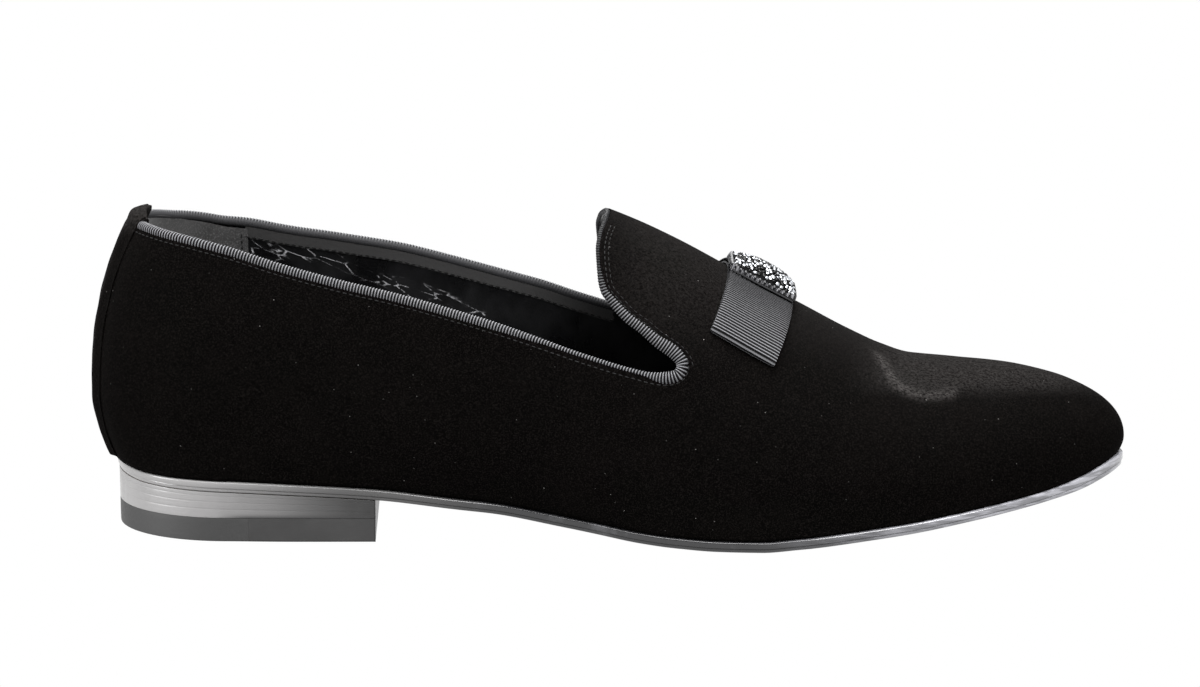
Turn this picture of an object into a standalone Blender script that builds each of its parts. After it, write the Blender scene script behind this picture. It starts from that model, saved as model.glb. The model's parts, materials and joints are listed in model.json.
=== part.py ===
"""Velvet slipper loafer, a right shoe, standing on its sole.

Metres. +X runs to the toe, +Y to the inner (medial) side of the foot, +Z up.
The origin is on the floor, at the centre of the heel's round back.
"""
import bisect
import math

import bmesh
import bpy
import numpy as np
from mathutils import Vector

# Driving sizes of the last
LENGTH = 0.3021            # upper, from the bulge of the back to the toe
BACK_REACH = 0.0396        # origin to the bulge of the back, without its strip
BALL_WIDTH = 0.0988        # outsole at the ball of the foot
COLLAR_HEIGHT = 0.0913     # top edge of the collar at the back
INSTEP_HEIGHT = 0.0936     # ridge at the end of the tongue
TOE_DRIFT = 0.0030         # toe centre line towards the inner side

# Sole and heel
HEEL_HEIGHT = 0.0164       # floor to the outsole at the back
TOE_SPRING = 0.0153        # floor to the outsole at the tip
SOLE_THICKNESS = 0.0030
TOE_THICKENING = 0.0010    # extra thickness of the outsole at its tip
SOLE_BACK = 0.0333         # origin to the back edge of the outsole
SOLE_TIP = 0.2622          # origin to the tip of the outsole
SOLE_STEP = 0.0004         # the lower layer of the sole's side stands back
SOLE_ROUND = 0.0005
HEEL_BREAST = 0.0430       # origin to the front face of the heel
HEEL_TAPER = 0.0003        # how far the heel draws in towards the floor
SEAT_LIFT = 0.0016         # thin leather lift under the outsole
TOP_PIECE = 0.0070         # lowest lift, which wears on the floor
RUBBER_REACH = 0.0060      # origin to the front end of its rubber part

# Upper
WALL = 0.0020              # velvet, interlining and leather lining together
LEDGE = 0.0012             # sole edge that shows past the upper
SEAT_BACK = 0.0341         # origin to the lower edge of the upper's back
LASTING_MARGIN = 0.0080    # turned in under the insole
TURN_IN = 0.0012           # how far the lower edge bends in before it lies flat
INSOLE = 0.0018
INSOLE_TOE_EASE = 0.0040   # the insole stops short of the toe's rounded wall
GAP = 0.0003               # between pieces that touch

# Binding, back strip, bow
BINDING = 0.0032           # rolled grosgrain edge
BINDING_END = 0.0011       # the edge stops this far from the strip
STRIP_HALF_WIDTH = 0.0105
STRIP_THICKNESS = 0.0010
STRIP_START = 0.0013       # lower end of the strip above the outsole
STRIP_INSIDE = 0.0090      # how far the strip's tab runs down inside
TAB_RISE = 0.0020          # tab above the collar's top edge
TAB_CROWN = 0.0005         # how much lower the tab is at its sides
INNER_LIFT = 0.0041        # the inner topline stands higher along the waist
BOW_PLACE = 0.1545         # origin to the middle of the bow, along X
BOW_WIDTH = 0.0210         # ribbon width, along the ridge
BOW_REACH = 0.0385         # ridge to the end of each loop, over the vamp
BOW_SKEW = 0.0016          # the loop's end is this much longer in front and shorter behind
RIBBON = 0.0006
LOOP_GAP = 0.0009          # hollow between the two layers of a loop
KNOT_LENGTH = 0.0216
KNOT_REACH = 0.0100        # ridge to each side of the knot
KNOT_HEIGHT = 0.0042       # ridge to the flat top of the knot
DOME_INSET = 0.0016
DOME_EDGE = 0.0005         # height of the dome at its sides
DOME_HEIGHT = 0.0030

LATERAL, MEDIAL = -1, 1
RIDGE_START = 0.340        # share of LENGTH behind the end of the tongue
REST_START, REST_END = 0.471, 0.514    # shares of LENGTH where the ball lies flat on the floor
TOE_START = 0.560          # share of LENGTH where the outline closes to the toe
DRIFT_PLACES = (0.33, 0.55)        # shares of LENGTH between which the toe drifts inwards
THICKENING_PLACES = (0.78, 0.86)   # shares of LENGTH between which the outsole thickens
INSOLE_PLACES = (0.70, 0.85)       # shares of LENGTH between which the insole draws in
TONGUE_PLACES = (0.62, 0.82)       # shares of COLLAR_HEIGHT where the inner lift fades out
SOLE_STEP_SHARE = 0.42     # share of the outsole's thickness below the step of its side
SPINE_SHARE = 0.78         # how far the ridge points follow the toe outline
HEEL_POWER = 2.05
TOE_POWER = {LATERAL: 1.60, MEDIAL: 1.90}
NEAR_RIDGE = 0.995         # last place on a section's curve where its normal is steady
CROSSING = 0.90            # place on a section's curve where the binding starts over the ridge
LONGEST_PIECE = 2.2 * BINDING      # straight pieces of the binding and of the cut under it
SHARPEST_TURN = math.radians(10)

# Plan of the sole: x in LENGTH, half widths in BALL_WIDTH
SOLE_PLAN = {
    "x": (0.0, 0.066, 0.142, 0.247, 0.330, 0.428, 0.494, 0.560),
    "lateral": (0.332, 0.339, 0.338, 0.334, 0.364, 0.445, 0.481, 0.491),
    "medial": (0.332, 0.330, 0.312, 0.264, 0.284, 0.396, 0.466, 0.503),
}
# Widest line of the upper: x in LENGTH, half widths in BALL_WIDTH, height in COLLAR_HEIGHT
WIDEST = {
    "x": (0.0, 0.066, 0.142, 0.247, 0.330, 0.428, 0.494, 0.560, 0.640, 0.720, 0.800, 0.8652),
    "lateral": (0.341, 0.347, 0.354, 0.364, 0.395, 0.445, 0.472, 0.478, 0.478, 0.478, 0.478, 0.478),
    "medial": (0.341, 0.340, 0.336, 0.339, 0.369, 0.425, 0.469, 0.490, 0.490, 0.490, 0.490, 0.490),
    "height": (0.440, 0.420, 0.383, 0.350, 0.307, 0.241, 0.200, 0.182, 0.182, 0.197, 0.228, 0.263),
}
# Ridge over the foot: x in LENGTH, height in INSTEP_HEIGHT, fullness of the section's shoulders
RIDGE = {
    "x": (0.0, 0.165, 0.280, 0.353, 0.396, 0.434, 0.473, 0.509, 0.550, 0.599, 0.628, 0.657,
          0.695, 0.744, 0.782, 0.820, 0.8652),
    "height": (1.180, 1.140, 1.070, 1.000, 0.945, 0.883, 0.811, 0.742, 0.675, 0.586, 0.540,
               0.509, 0.498, 0.486, 0.466, 0.428, 0.368),
    "rise": (0.57, 0.58, 0.60, 0.60, 0.60, 0.60, 0.60, 0.60, 0.60, 0.60, 0.60, 0.60,
             0.60, 0.58, 0.56, 0.53, 0.50),
    "crown": (0.57, 0.53, 0.54, 0.55, 0.55, 0.55, 0.55, 0.56, 0.57, 0.58, 0.60, 0.60,
              0.60, 0.60, 0.59, 0.57, 0.54),
}
# Underside of the outsole: x in LENGTH, rise in HEEL_HEIGHT behind and TOE_SPRING in front
UNDERSIDE = {
    "x": (-0.112, -0.082, -0.020, 0.064, 0.142, 0.220, 0.260, 0.320, 0.356, 0.396, 0.435, REST_START,
          REST_END, 0.550, 0.610, 0.666, 0.705, 0.751, 0.791, 0.824, 0.847, 0.864),
    "heel": (1.000, 0.935, 0.902, 0.841, 0.756, 0.580, 0.494, 0.305, 0.195, 0.085, 0.025, 0.0,
             0.0, 0.0, 0.0, 0.0, 0.0, 0.0, 0.0, 0.0, 0.0, 0.0),
    "toe": (0.0, 0.0, 0.0, 0.0, 0.0, 0.0, 0.0, 0.0, 0.0, 0.0, 0.0, 0.0,
            0.0, 0.065, 0.196, 0.314, 0.418, 0.543, 0.660, 0.771, 0.895, 1.0),
}
# Top edge of the collar from the back to the notch, then up the tongue's edge:
# x in LENGTH, height in COLLAR_HEIGHT, seen from the side
TOPLINE = {
    "x": (-0.200, -0.150, -0.100, -0.048, -0.005, 0.053, 0.109, 0.164, 0.249, 0.303, 0.343, 0.391,
          0.4220, 0.4305, 0.4330, 0.4295, 0.409, 0.3965, 0.383, 0.367, 0.3585, 0.3545,
          0.3522, 0.3550, 0.3600, 0.3650, 0.3750, 0.3850),
    "height": (1.006, 1.003, 0.999, 0.980, 0.951, 0.893, 0.844, 0.802, 0.724, 0.670, 0.628, 0.584,
               0.5640, 0.5700, 0.5840, 0.6010, 0.648, 0.6810, 0.712, 0.7640, 0.7980, 0.8410,
               0.9240, 0.9700, 1.0000, 1.0200, 1.0700, 1.1400),
}
# How much higher the inner side's topline stands: x in LENGTH, lift in INNER_LIFT
INNER_TOPLINE = {
    "x": (-0.100, -0.053, -0.015, 0.023, 0.063, 0.103, 0.140, 0.180, 0.295, 0.335, 0.400),
    "lift": (0.0, -0.42, -0.42, 0.0, 0.32, 0.68, 0.88, 1.0, 1.0, 0.85, 0.60),
}


class Smooth:
    """Smooth curve through a table's column that never overshoots."""

    def __init__(self, xs, ys):
        self.xs, self.ys = list(xs), list(ys)
        steps = [b - a for a, b in zip(xs, xs[1:])]
        slopes = [(b - a) / step for a, b, step in zip(ys, ys[1:], steps)]
        self.ends = [slopes[0]]
        for (h1, h2), (d1, d2) in zip(zip(steps, steps[1:]), zip(slopes, slopes[1:])):
            w1, w2 = 2 * h2 + h1, h2 + 2 * h1
            self.ends.append((w1 + w2) / (w1 / d1 + w2 / d2) if d1 * d2 > 0 else 0.0)
        self.ends.append(slopes[-1])

    def __call__(self, x):
        i = min(max(bisect.bisect_right(self.xs, x) - 1, 0), len(self.xs) - 2)
        step = self.xs[i + 1] - self.xs[i]
        t = min(max((x - self.xs[i]) / step, 0.0), 1.0)
        s = 1 - t
        return ((1 + 2 * t) * s * s * self.ys[i] + t * s * s * step * self.ends[i]
                + t * t * (3 - 2 * t) * self.ys[i + 1] - t * t * s * step * self.ends[i + 1])


def curves(table):
    return {name: Smooth(table["x"], column) for name, column in table.items() if name != "x"}


SOLE_PLAN, WIDEST, RIDGE = curves(SOLE_PLAN), curves(WIDEST), curves(RIDGE)
UNDERSIDE, INNER_TOPLINE = curves(UNDERSIDE), curves(INNER_TOPLINE)


def spread(first, last, count):
    """Evenly spaced values, both ends included."""
    return [first + (last - first) * i / (count - 1) for i in range(count)]


def ease(t):
    t = min(max(t, 0.0), 1.0)
    return t * t * (3 - 2 * t)


def side_name(side):
    return "lateral" if side == LATERAL else "medial"


def ramp(share, places):
    """0 before the first place, 1 past the second, and smooth between."""
    return ease((share - places[0]) / (places[1] - places[0]))


def underside(x):
    """Height of the outsole's underside."""
    share = x / LENGTH
    return (UNDERSIDE["heel"](share) * HEEL_HEIGHT
            + UNDERSIDE["toe"](share) * TOE_SPRING)


def sole_top(x):
    """Height of the outsole's upper face, where the upper and insole sit."""
    return underside(x) + SOLE_THICKNESS + TOE_THICKENING * ramp(x / LENGTH, THICKENING_PLACES)


def spine_y(x):
    return TOE_DRIFT * ramp(x / LENGTH, DRIFT_PLACES)


def outline(plan, back, tip, side, x):
    """Point of a plan outline; x runs on the line of its middle stretch."""
    toe_start = TOE_START * LENGTH
    if x < 0:
        run = min(-x / back, 1.0)
        width = plan[side_name(side)](0.0) * BALL_WIDTH
        return -run * back, side * width * (1 - run ** HEEL_POWER) ** (1 / HEEL_POWER)
    width = plan[side_name(side)](min(x / LENGTH, TOE_START)) * BALL_WIDTH
    if x <= toe_start:
        return x, side * width
    run = min((x - toe_start) / (tip - toe_start), 1.0)
    power = TOE_POWER[side]
    reach = width - side * spine_y(x)
    return x, spine_y(x) + side * reach * (1 - run ** power) ** (1 / power)


def inset_outline(side, x, inset):
    """Outsole outline drawn in by an inset, at the same share of the heel or toe."""
    toe_start = TOE_START * LENGTH
    px, py = outline(SOLE_PLAN, SOLE_BACK, SOLE_TIP, side, x)
    width = abs(py - spine_y(x) * (x > toe_start))
    full = abs(outline(SOLE_PLAN, SOLE_BACK, SOLE_TIP, side, min(max(x, 0.0), toe_start))[1])
    if x < 0:
        px = x * (SOLE_BACK - inset) / SOLE_BACK
    elif x > toe_start:
        px = toe_start + (x - toe_start) * (SOLE_TIP - inset - toe_start) / (SOLE_TIP - toe_start)
    middle = spine_y(x) * (x > toe_start)
    return px, middle + side * width * (full - inset) / full


def stations(back, tip, heel_steps, middle_steps, toe_steps, last_angle=87.0):
    """X places that crowd where the outline turns round the heel and the toe."""
    toe_start = TOE_START * LENGTH
    xs = [-back * math.sin(math.radians(a)) for a in spread(last_angle, 0, heel_steps + 1)[:-1]]
    xs += spread(0, toe_start, middle_steps + 1)[:-1]
    xs += [toe_start + (tip - toe_start) * math.sin(math.radians(a))
           for a in spread(0, last_angle, toe_steps + 1)]
    return xs


class Column:
    """One section of the upper, from its lower edge over the widest line to the ridge."""

    def __init__(self, side, x):
        toe_start = TOE_START * LENGTH
        back, tip = BACK_REACH, LENGTH - BACK_REACH
        share = x / LENGTH
        wx, wy = outline(WIDEST, back, tip, side, x)
        if x < 0:
            seat_x = x * SEAT_BACK / back
            width = WIDEST["lateral"](0.0) * BALL_WIDTH
            seat = SOLE_PLAN[side_name(side)](0.0) * BALL_WIDTH - LEDGE / 2
            seat_y = wy * seat / width
            ridge_x = 0.0
        elif x > toe_start:
            sole_x = toe_start + (x - toe_start) * (SOLE_TIP - toe_start) / (tip - toe_start)
            seat_x, seat_y = inset_outline(side, sole_x, LEDGE)
            ridge_x = toe_start + SPINE_SHARE * (x - toe_start)
        else:
            seat_x, seat_y = inset_outline(side, x, LEDGE)
            ridge_x = x
        ridge_y = spine_y(ridge_x)
        widest_z = WIDEST["height"](max(share, 0.0)) * COLLAR_HEIGHT
        ridge_z = RIDGE["height"](ridge_x / LENGTH) * INSTEP_HEIGHT
        self.seat = Vector((seat_x, seat_y, sole_top(seat_x) + GAP))
        self.widest = Vector((wx, wy, widest_z))
        self.ridge = Vector((ridge_x, ridge_y, ridge_z))
        inward = Vector((ridge_x - wx, ridge_y - wy, 0.0))
        reach = inward.length
        inward.normalize()
        self.inward = inward
        step = 0.004
        behind = RIDGE["height"](ridge_x / LENGTH - step)
        ahead = RIDGE["height"](ridge_x / LENGTH + step)
        slope = (ahead - behind) * INSTEP_HEIGHT / (2 * step * LENGTH) if x > 0 else 0.0
        rise = RIDGE["rise"](max(share, 0.0)) * (ridge_z - widest_z)
        crown = RIDGE["crown"](max(share, 0.0)) * reach
        self.low_handle = self.widest + Vector((0, 0, rise))
        self.high_handle = self.ridge - crown * (inward + Vector((0, 0, slope * inward.x)))

    def above(self, t):
        """Point from the widest line (t = 0) to the ridge (t = 1)."""
        s = 1 - t
        return (s ** 3 * self.widest + 3 * s * s * t * self.low_handle
                + 3 * s * t * t * self.high_handle + t ** 3 * self.ridge)

    def below(self, t):
        """Point from the lower edge (t = 0) to the widest line (t = 1)."""
        point = self.seat.lerp(self.widest, 1 - (1 - t) ** 2)
        point.z = self.seat.z + t * (self.widest.z - self.seat.z)
        return point

    def at_height(self, z):
        """Curve position and point above the widest line at height z."""
        low, high = 0.0, 1.0
        for _ in range(26):
            middle = (low + high) / 2
            if self.above(middle).z < z:
                low = middle
            else:
                high = middle
        return middle, self.above(middle)


def surface(side, x, t):
    return Column(side, x).above(t)


def normal(side, x, t):
    """Outward unit normal of the upper above its widest line."""
    step, rise = LENGTH / 300, 0.01
    along = surface(side, x + step, t) - surface(side, x - step, t)
    lower, upper = max(t - rise, 0.0), min(t + rise, 1.0)
    up = surface(side, x, upper) - surface(side, x, lower)
    return side * up.cross(along).normalized()


def topline_curve(side, offset, count=400):
    """Side view of the collar's edge as (x, z) points, moved into the upper by an offset."""
    xs = np.asarray(TOPLINE["x"]) * LENGTH
    zs = np.asarray(TOPLINE["height"]) * COLLAR_HEIGHT
    knots = np.concatenate([[0], np.cumsum(np.hypot(np.diff(xs), np.diff(zs)))])
    knots = (knots / knots[-1]).tolist()
    run_x, run_z = Smooth(knots, xs.tolist()), Smooth(knots, zs.tolist())
    line = np.array([(run_x(s), run_z(s)) for s in spread(0, 1, count)])
    if side == MEDIAL:
        notch = int(np.argmax(line[:, 0]))
        for i, (x, z) in enumerate(line):
            fade = ramp(z / COLLAR_HEIGHT, TONGUE_PLACES) if i > notch else 0.0
            line[i, 1] += INNER_LIFT * INNER_TOPLINE["lift"](x / LENGTH) * (1 - fade)
    tangent = np.gradient(line, axis=0)
    tangent /= np.linalg.norm(tangent, axis=1)[:, None]
    return (line + offset * np.stack([tangent[:, 1], -tangent[:, 0]], axis=1)).tolist()


def keep_places(points, longest, turn):
    """Indices that follow a fine line: closer together where it turns."""
    line = [Vector(p) for p in points]
    kept = [0]
    for i in range(1, len(line) - 1):
        start = line[kept[-1] + 1] - line[kept[-1]]
        far = (line[i] - line[kept[-1]]).length > longest
        if far or start.angle(line[i + 1] - line[i], 0.0) > turn:
            kept.append(i)
    return kept + [len(line) - 1]


def material(name, colour, roughness, metallic=0.0):
    made = bpy.data.materials.new(name)
    made.use_nodes = True
    shader = made.node_tree.nodes["Principled BSDF"]
    shader.inputs["Base Color"].default_value = (*colour, 1.0)
    shader.inputs["Roughness"].default_value = roughness
    shader.inputs["Metallic"].default_value = metallic
    return made


def add_mesh(name, mesh_data, made):
    """Put a finished bmesh into the scene as one smooth-shaded object."""
    bmesh.ops.remove_doubles(mesh_data, verts=mesh_data.verts, dist=1e-7)
    bmesh.ops.recalc_face_normals(mesh_data, faces=mesh_data.faces)
    mesh = bpy.data.meshes.new(name)
    mesh_data.to_mesh(mesh)
    mesh_data.free()
    mesh.shade_smooth()
    mesh.set_sharp_from_angle(angle=math.radians(35))
    thing = bpy.data.objects.new(name, mesh)
    thing.data.materials.append(made)
    bpy.context.scene.collection.objects.link(thing)
    return thing


def loft(name, rings, made, closed=False):
    """Join rings of equal length into one solid, capped at both ends unless it closes."""
    shape = bmesh.new()
    rows = [[shape.verts.new(p) for p in ring] for ring in rings]
    pairs = list(zip(rows, rows[1:]))
    if closed:
        pairs.append((rows[-1], rows[0]))
    for one, two in pairs:
        for i in range(len(one)):
            j = (i + 1) % len(one)
            shape.faces.new((one[i], one[j], two[j], two[i]))
    if not closed:
        shape.faces.new(rows[0])
        shape.faces.new(rows[-1][::-1])
    return add_mesh(name, shape, made)


def build_outsole(made):
    """Leather outsole: flat across, curved along, with a stepped and rounded side."""
    rings = []
    rest = [REST_START * LENGTH, REST_END * LENGTH]
    apart = LENGTH / 80
    others = [x for x in stations(SOLE_BACK, SOLE_TIP, 9, 16, 15)
              if x > rest[1] + apart or x < rest[0] - apart]
    for x in sorted(others + rest):
        low = underside(x)
        thick = sole_top(x) - low
        levels = ((1.0, SOLE_ROUND), (1 - SOLE_ROUND / thick, 0.0),
                  (SOLE_STEP_SHARE, 0.0), (SOLE_STEP_SHARE, SOLE_STEP),
                  (SOLE_ROUND / thick, SOLE_STEP), (0.0, SOLE_STEP + SOLE_ROUND))
        ring = []
        for side in (LATERAL, MEDIAL):
            edge = []
            for height, inset in levels:
                px, py = inset_outline(side, x, inset)
                edge.append((px, py, underside(px) + height * thick))
            ring += edge if side == LATERAL else edge[::-1]
        rings.append(ring)
    return loft("outsole", rings, made)


def heel_ring(x, low, high):
    """Section of a heel lift between two heights, drawn in towards the floor."""
    ring = []
    for side, order in ((LATERAL, 1), (MEDIAL, -1)):
        edge = []
        for z in (high, low):
            inset = HEEL_TAPER * (1 - z / HEEL_HEIGHT) + SOLE_STEP
            px, py = inset_outline(side, x, inset)
            edge.append((px, py, z))
        ring += edge[::order]
    return ring


def build_heel(leather, rubber):
    """Heel stack: seat lift, main lift, and a lowest lift of leather with a rubber back."""
    round_back = [-SOLE_BACK * math.sin(math.radians(a)) for a in spread(87, 0, 13)[:-1]]
    front = spread(0, HEEL_BREAST, 5)

    def seat_low(x):
        return underside(x) - GAP - SEAT_LIFT

    loft("heel_seat_lift",
         [heel_ring(x, seat_low(x), underside(x) - GAP) for x in round_back + front], leather)
    loft("heel_main_lift",
         [heel_ring(x, TOP_PIECE + GAP, seat_low(x) - GAP) for x in round_back + front], leather)
    loft("heel_rubber_piece",
         [heel_ring(x, 0.0, TOP_PIECE) for x in round_back + [0.0, RUBBER_REACH]], rubber)
    loft("heel_front_piece",
         [heel_ring(x, 0.0, TOP_PIECE) for x in (RUBBER_REACH + GAP, HEEL_BREAST)], leather)


def build_insole(made):
    """Insole over the lasting margin, with a filler plug that reaches down to the outsole."""
    rings = []
    rest = GAP + WALL + GAP
    edge_inset = LEDGE + WALL + 3 * GAP
    plug_inset = LEDGE + LASTING_MARGIN + WALL
    for x in stations(SOLE_BACK, SOLE_TIP, 7, 12, 10, last_angle=84.0):
        levels = ((rest + INSOLE, edge_inset), (rest, edge_inset), (rest, plug_inset), (GAP, plug_inset))
        ring = []
        for side in (LATERAL, MEDIAL):
            edge = []
            for height, inset in levels:
                toe_ease = INSOLE_TOE_EASE * ramp(x / LENGTH, INSOLE_PLACES)
                px, py = inset_outline(side, x, inset + toe_ease)
                edge.append((px, py, sole_top(px) + height))
            ring += edge if side == LATERAL else edge[::-1]
        rings.append(ring)
    return loft("insole", rings, made)


def upper_grid(heel_steps, middle_steps, toe_steps, rows):
    """Outer face of the upper as columns of points, once round the shoe."""
    places = stations(BACK_REACH, LENGTH - BACK_REACH, heel_steps, middle_steps, toe_steps, 90.0)
    columns = [Column(LATERAL, x) for x in places]
    columns += [Column(MEDIAL, x) for x in places[-2:0:-1]]
    grid = []
    for column in columns:
        turned = column.seat + LASTING_MARGIN * column.inward
        turned.z = sole_top(turned.x) + GAP
        line = [turned, column.seat + TURN_IN * column.inward]
        line += [column.below(t) for t in (0.05, 0.25, 0.6)]
        line += [column.above(t) for t in spread(0, 1, rows)]
        grid.append(line)
    return grid


def build_opening_cutter():
    """Prism seen from the side that opens the collar and the throat down to the binding."""
    past, blend = 0.7 * BALL_WIDTH, 0.07 * BALL_WIDTH
    top = 1.6 * INSTEP_HEIGHT
    kept = keep_places([(x, 0, z) for x, z in topline_curve(LATERAL, BINDING + GAP)],
                       LONGEST_PIECE, SHARPEST_TURN)
    rings = []
    for y, side in ((-past, LATERAL), (-blend, LATERAL), (blend, MEDIAL), (past, MEDIAL)):
        line = [topline_curve(side, BINDING + GAP)[i] for i in kept]
        ring = [(x, y, z) for x, z in line]
        ring += [(line[-1][0], y, top), (line[0][0], y, top)]
        rings.append(ring)
    cutter = loft("opening_cutter", rings, bpy.data.materials.new("cutter"))
    cutter.hide_render = True
    cutter.display_type = "WIRE"
    return cutter


def build_upper(made):
    """One hollow wall, open at the collar and throat and underneath inside the lasting margin."""
    grid = upper_grid(8, 18, 14, 14)
    shape = bmesh.new()
    columns = [[shape.verts.new(p) for p in line] for line in grid]
    for one, two in zip(columns, columns[1:] + columns[:1]):
        for i in range(len(one) - 1):
            shape.faces.new((one[i], one[i + 1], two[i + 1], two[i]))
    bmesh.ops.remove_doubles(shape, verts=shape.verts, dist=1e-6)
    upper = add_mesh("upper", shape, made)
    wall = upper.modifiers.new("wall", "SOLIDIFY")
    wall.thickness = WALL
    wall.offset = -1.0
    cut = upper.modifiers.new("opening", "BOOLEAN")
    cut.operation = "DIFFERENCE"
    cut.solver = "EXACT"
    cut.object = build_opening_cutter()
    return upper


def on_surface(side, x, z):
    """Column place and curve position where the side view shows (x, z)."""
    place = x
    for _ in range(12):
        t, point = Column(side, place).at_height(z)
        if abs(x - point.x) < 1e-6:
            break
        place += x - point.x
    return place, t


def mid_wall(side, x, z, into):
    """Point in the middle of the wall that the side view shows at (x, z), and its curve place."""
    place, t = on_surface(side, x, z)
    move = -WALL / 2 * normal(side, place, min(t, NEAR_RIDGE))
    drift = move.x * into[0] + move.z * into[1]
    place, t = on_surface(side, x - drift * into[0], z - drift * into[1])
    return surface(side, place, t) - WALL / 2 * normal(side, place, min(t, NEAR_RIDGE)), place, t


def binding_route():
    """Centre line of the rolled edge: lateral end at the back, round the tongue, medial end."""
    halves = []
    tongue_start = RIDGE_START * LENGTH
    under_strip = -0.09 * LENGTH
    tongue_height = 0.8 * COLLAR_HEIGHT
    for side in (LATERAL, MEDIAL):
        edge = topline_curve(side, 0.0)
        line = topline_curve(side, BINDING / 2)
        half = []
        for (x0, z0), (x, z) in zip(edge, line):
            if x < under_strip:
                continue
            into = (2 * (x - x0) / BINDING, 2 * (z - z0) / BINDING)
            point, place, t = mid_wall(side, x, z, into)
            if x > tongue_start and t > CROSSING:
                break
            if abs(point.y) > STRIP_HALF_WIDTH + BINDING_END:
                half.append(point)
        crest_x = next(x for x, z in line if x > tongue_start and z > tongue_height
                       and z > Column(side, x).ridge.z - WALL / 2)
        last_place, last_t = place, t
        for share in spread(0.1, 1, 8):
            x = last_place + (crest_x - last_place) * ease(share)
            t = last_t + (1 - last_t) * share
            half.append(surface(side, x, t) - WALL / 2 * normal(side, x, min(t, NEAR_RIDGE)))
        halves.append(half)
    return halves[0] + halves[1][-2::-1]


def build_binding(made):
    """Rolled grosgrain edge round the collar, the notches and the tongue."""
    curve = bpy.data.curves.new("collar_binding", "CURVE")
    curve.dimensions = "3D"
    curve.bevel_depth = BINDING / 2
    curve.bevel_resolution = 2
    curve.use_fill_caps = True
    route = binding_route()
    points = [route[i] for i in keep_places(route, LONGEST_PIECE, SHARPEST_TURN)]
    spline = curve.splines.new("POLY")
    spline.points.add(len(points) - 1)
    for slot, point in zip(spline.points, points):
        slot.co = (*point, 1.0)
    binding = bpy.data.objects.new("collar_binding", curve)
    curve.materials.append(made)
    bpy.context.scene.collection.objects.link(binding)
    return binding


def back_point(share, z):
    """Point of the upper's back at a share of the strip's half width."""
    side = LATERAL if share < 0 else MEDIAL
    target = abs(share) * STRIP_HALF_WIDTH
    near, far = -BACK_REACH, -0.3 * BACK_REACH
    for _ in range(26):
        place = (near + far) / 2
        column = Column(side, place)
        if z > column.widest.z:
            point = column.at_height(z)[1]
        else:
            point = column.below((z - column.seat.z) / (column.widest.z - column.seat.z))
        if abs(point.y) < target:
            near = place
        else:
            far = place
    return point


def back_place(share, z):
    """The same point with the upper's outward unit normal there."""
    step = 0.0008
    point = back_point(share, z)
    up = back_point(share, z + step) - back_point(share, z - step)
    inward = Vector((-point.x, -point.y, 0.0)).normalized()
    across = inward.cross(Vector((0, 0, 1)))
    return point, across.cross(up).normalized()


def build_back_strip(made):
    """Velvet strip over the back seam that folds over the collar as a tab."""
    rings = []
    line = np.array(topline_curve(MEDIAL, 0.0)[:160])
    start = sole_top(-SEAT_BACK) + STRIP_START
    for share in spread(-1, 1, 9):
        crest = back_point(share, COLLAR_HEIGHT - BINDING)
        top = float(np.interp(crest.x, line[:, 0], line[:, 1]))
        edge = top - BINDING - GAP
        outer, cover, lining, inner = [], [], [], []
        for z in spread(start, edge, 11):
            point, out = back_place(share, z)
            outer.append(point + (GAP + STRIP_THICKNESS) * out)
            cover.append(point + GAP * out)
        for z in spread(edge + WALL / 2, edge - STRIP_INSIDE, 5):
            point, out = back_place(share, z)
            lining.append(point - (WALL + 2 * GAP + STRIP_THICKNESS) * out)
            inner.append(point - (WALL + 2 * GAP) * out)
        level = outer[-1] - lining[0]
        level.z = 0.0
        middle = (outer[-1] + lining[0]) / 2
        middle.z = edge
        height = top + TAB_RISE - TAB_CROWN * share * share - edge
        lean = (outer[-1] - outer[-2]) / (outer[-1].z - outer[-2].z)
        arc = [middle + level / 2 * math.cos(a) + height * math.sin(a) ** 0.7 * lean
               for a in map(math.radians, (25, 50, 75, 105, 130, 155))]
        over = [Vector((p.x, p.y, edge + 2 * GAP)) for p in (inner[0], cover[-1])]
        rings.append(outer + arc + lining + inner[::-1] + over + cover[::-1])
    return loft("back_strip", rings, made)


class Vamp:
    """Places over the ridge where the bow lies, in planes square to the ridge."""

    def __init__(self):
        self.foot = Column(LATERAL, BOW_PLACE).ridge
        ahead = Column(LATERAL, BOW_PLACE + 0.004).ridge
        behind = Column(LATERAL, BOW_PLACE - 0.004).ridge
        self.along = (ahead - behind).normalized()
        self.up = Vector((-self.along.z, 0, self.along.x))
        self.lines = {}

    def line(self, side, place):
        """Run, point and normal from the ridge down one side, at a place along the ridge."""
        key = (side, round(place, 6))
        if key not in self.lines:
            rows, run, last = [], 0.0, None
            for t in spread(0.999, 0.30, 30):
                low, high = BOW_PLACE - 0.15 * LENGTH, BOW_PLACE + 0.15 * LENGTH
                for _ in range(26):
                    x = (low + high) / 2
                    point = surface(side, x, t)
                    if (point - self.foot).dot(self.along) < place:
                        low = x
                    else:
                        high = x
                run += (point - last).length if last else 0.0
                last = point
                rows.append((run, *point, *normal(side, x, t)))
            self.lines[key] = np.array(rows)
        return self.lines[key]

    def over(self, place, run, height):
        """Point above the vamp: along the ridge, round from the ridge, and outward."""
        rows = self.line(LATERAL if run < 0 else MEDIAL, place)
        read = [float(np.interp(abs(run), rows[:, 0], rows[:, k])) for k in range(1, 7)]
        return Vector(read[:3]) + height * Vector(read[3:]).normalized()


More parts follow.
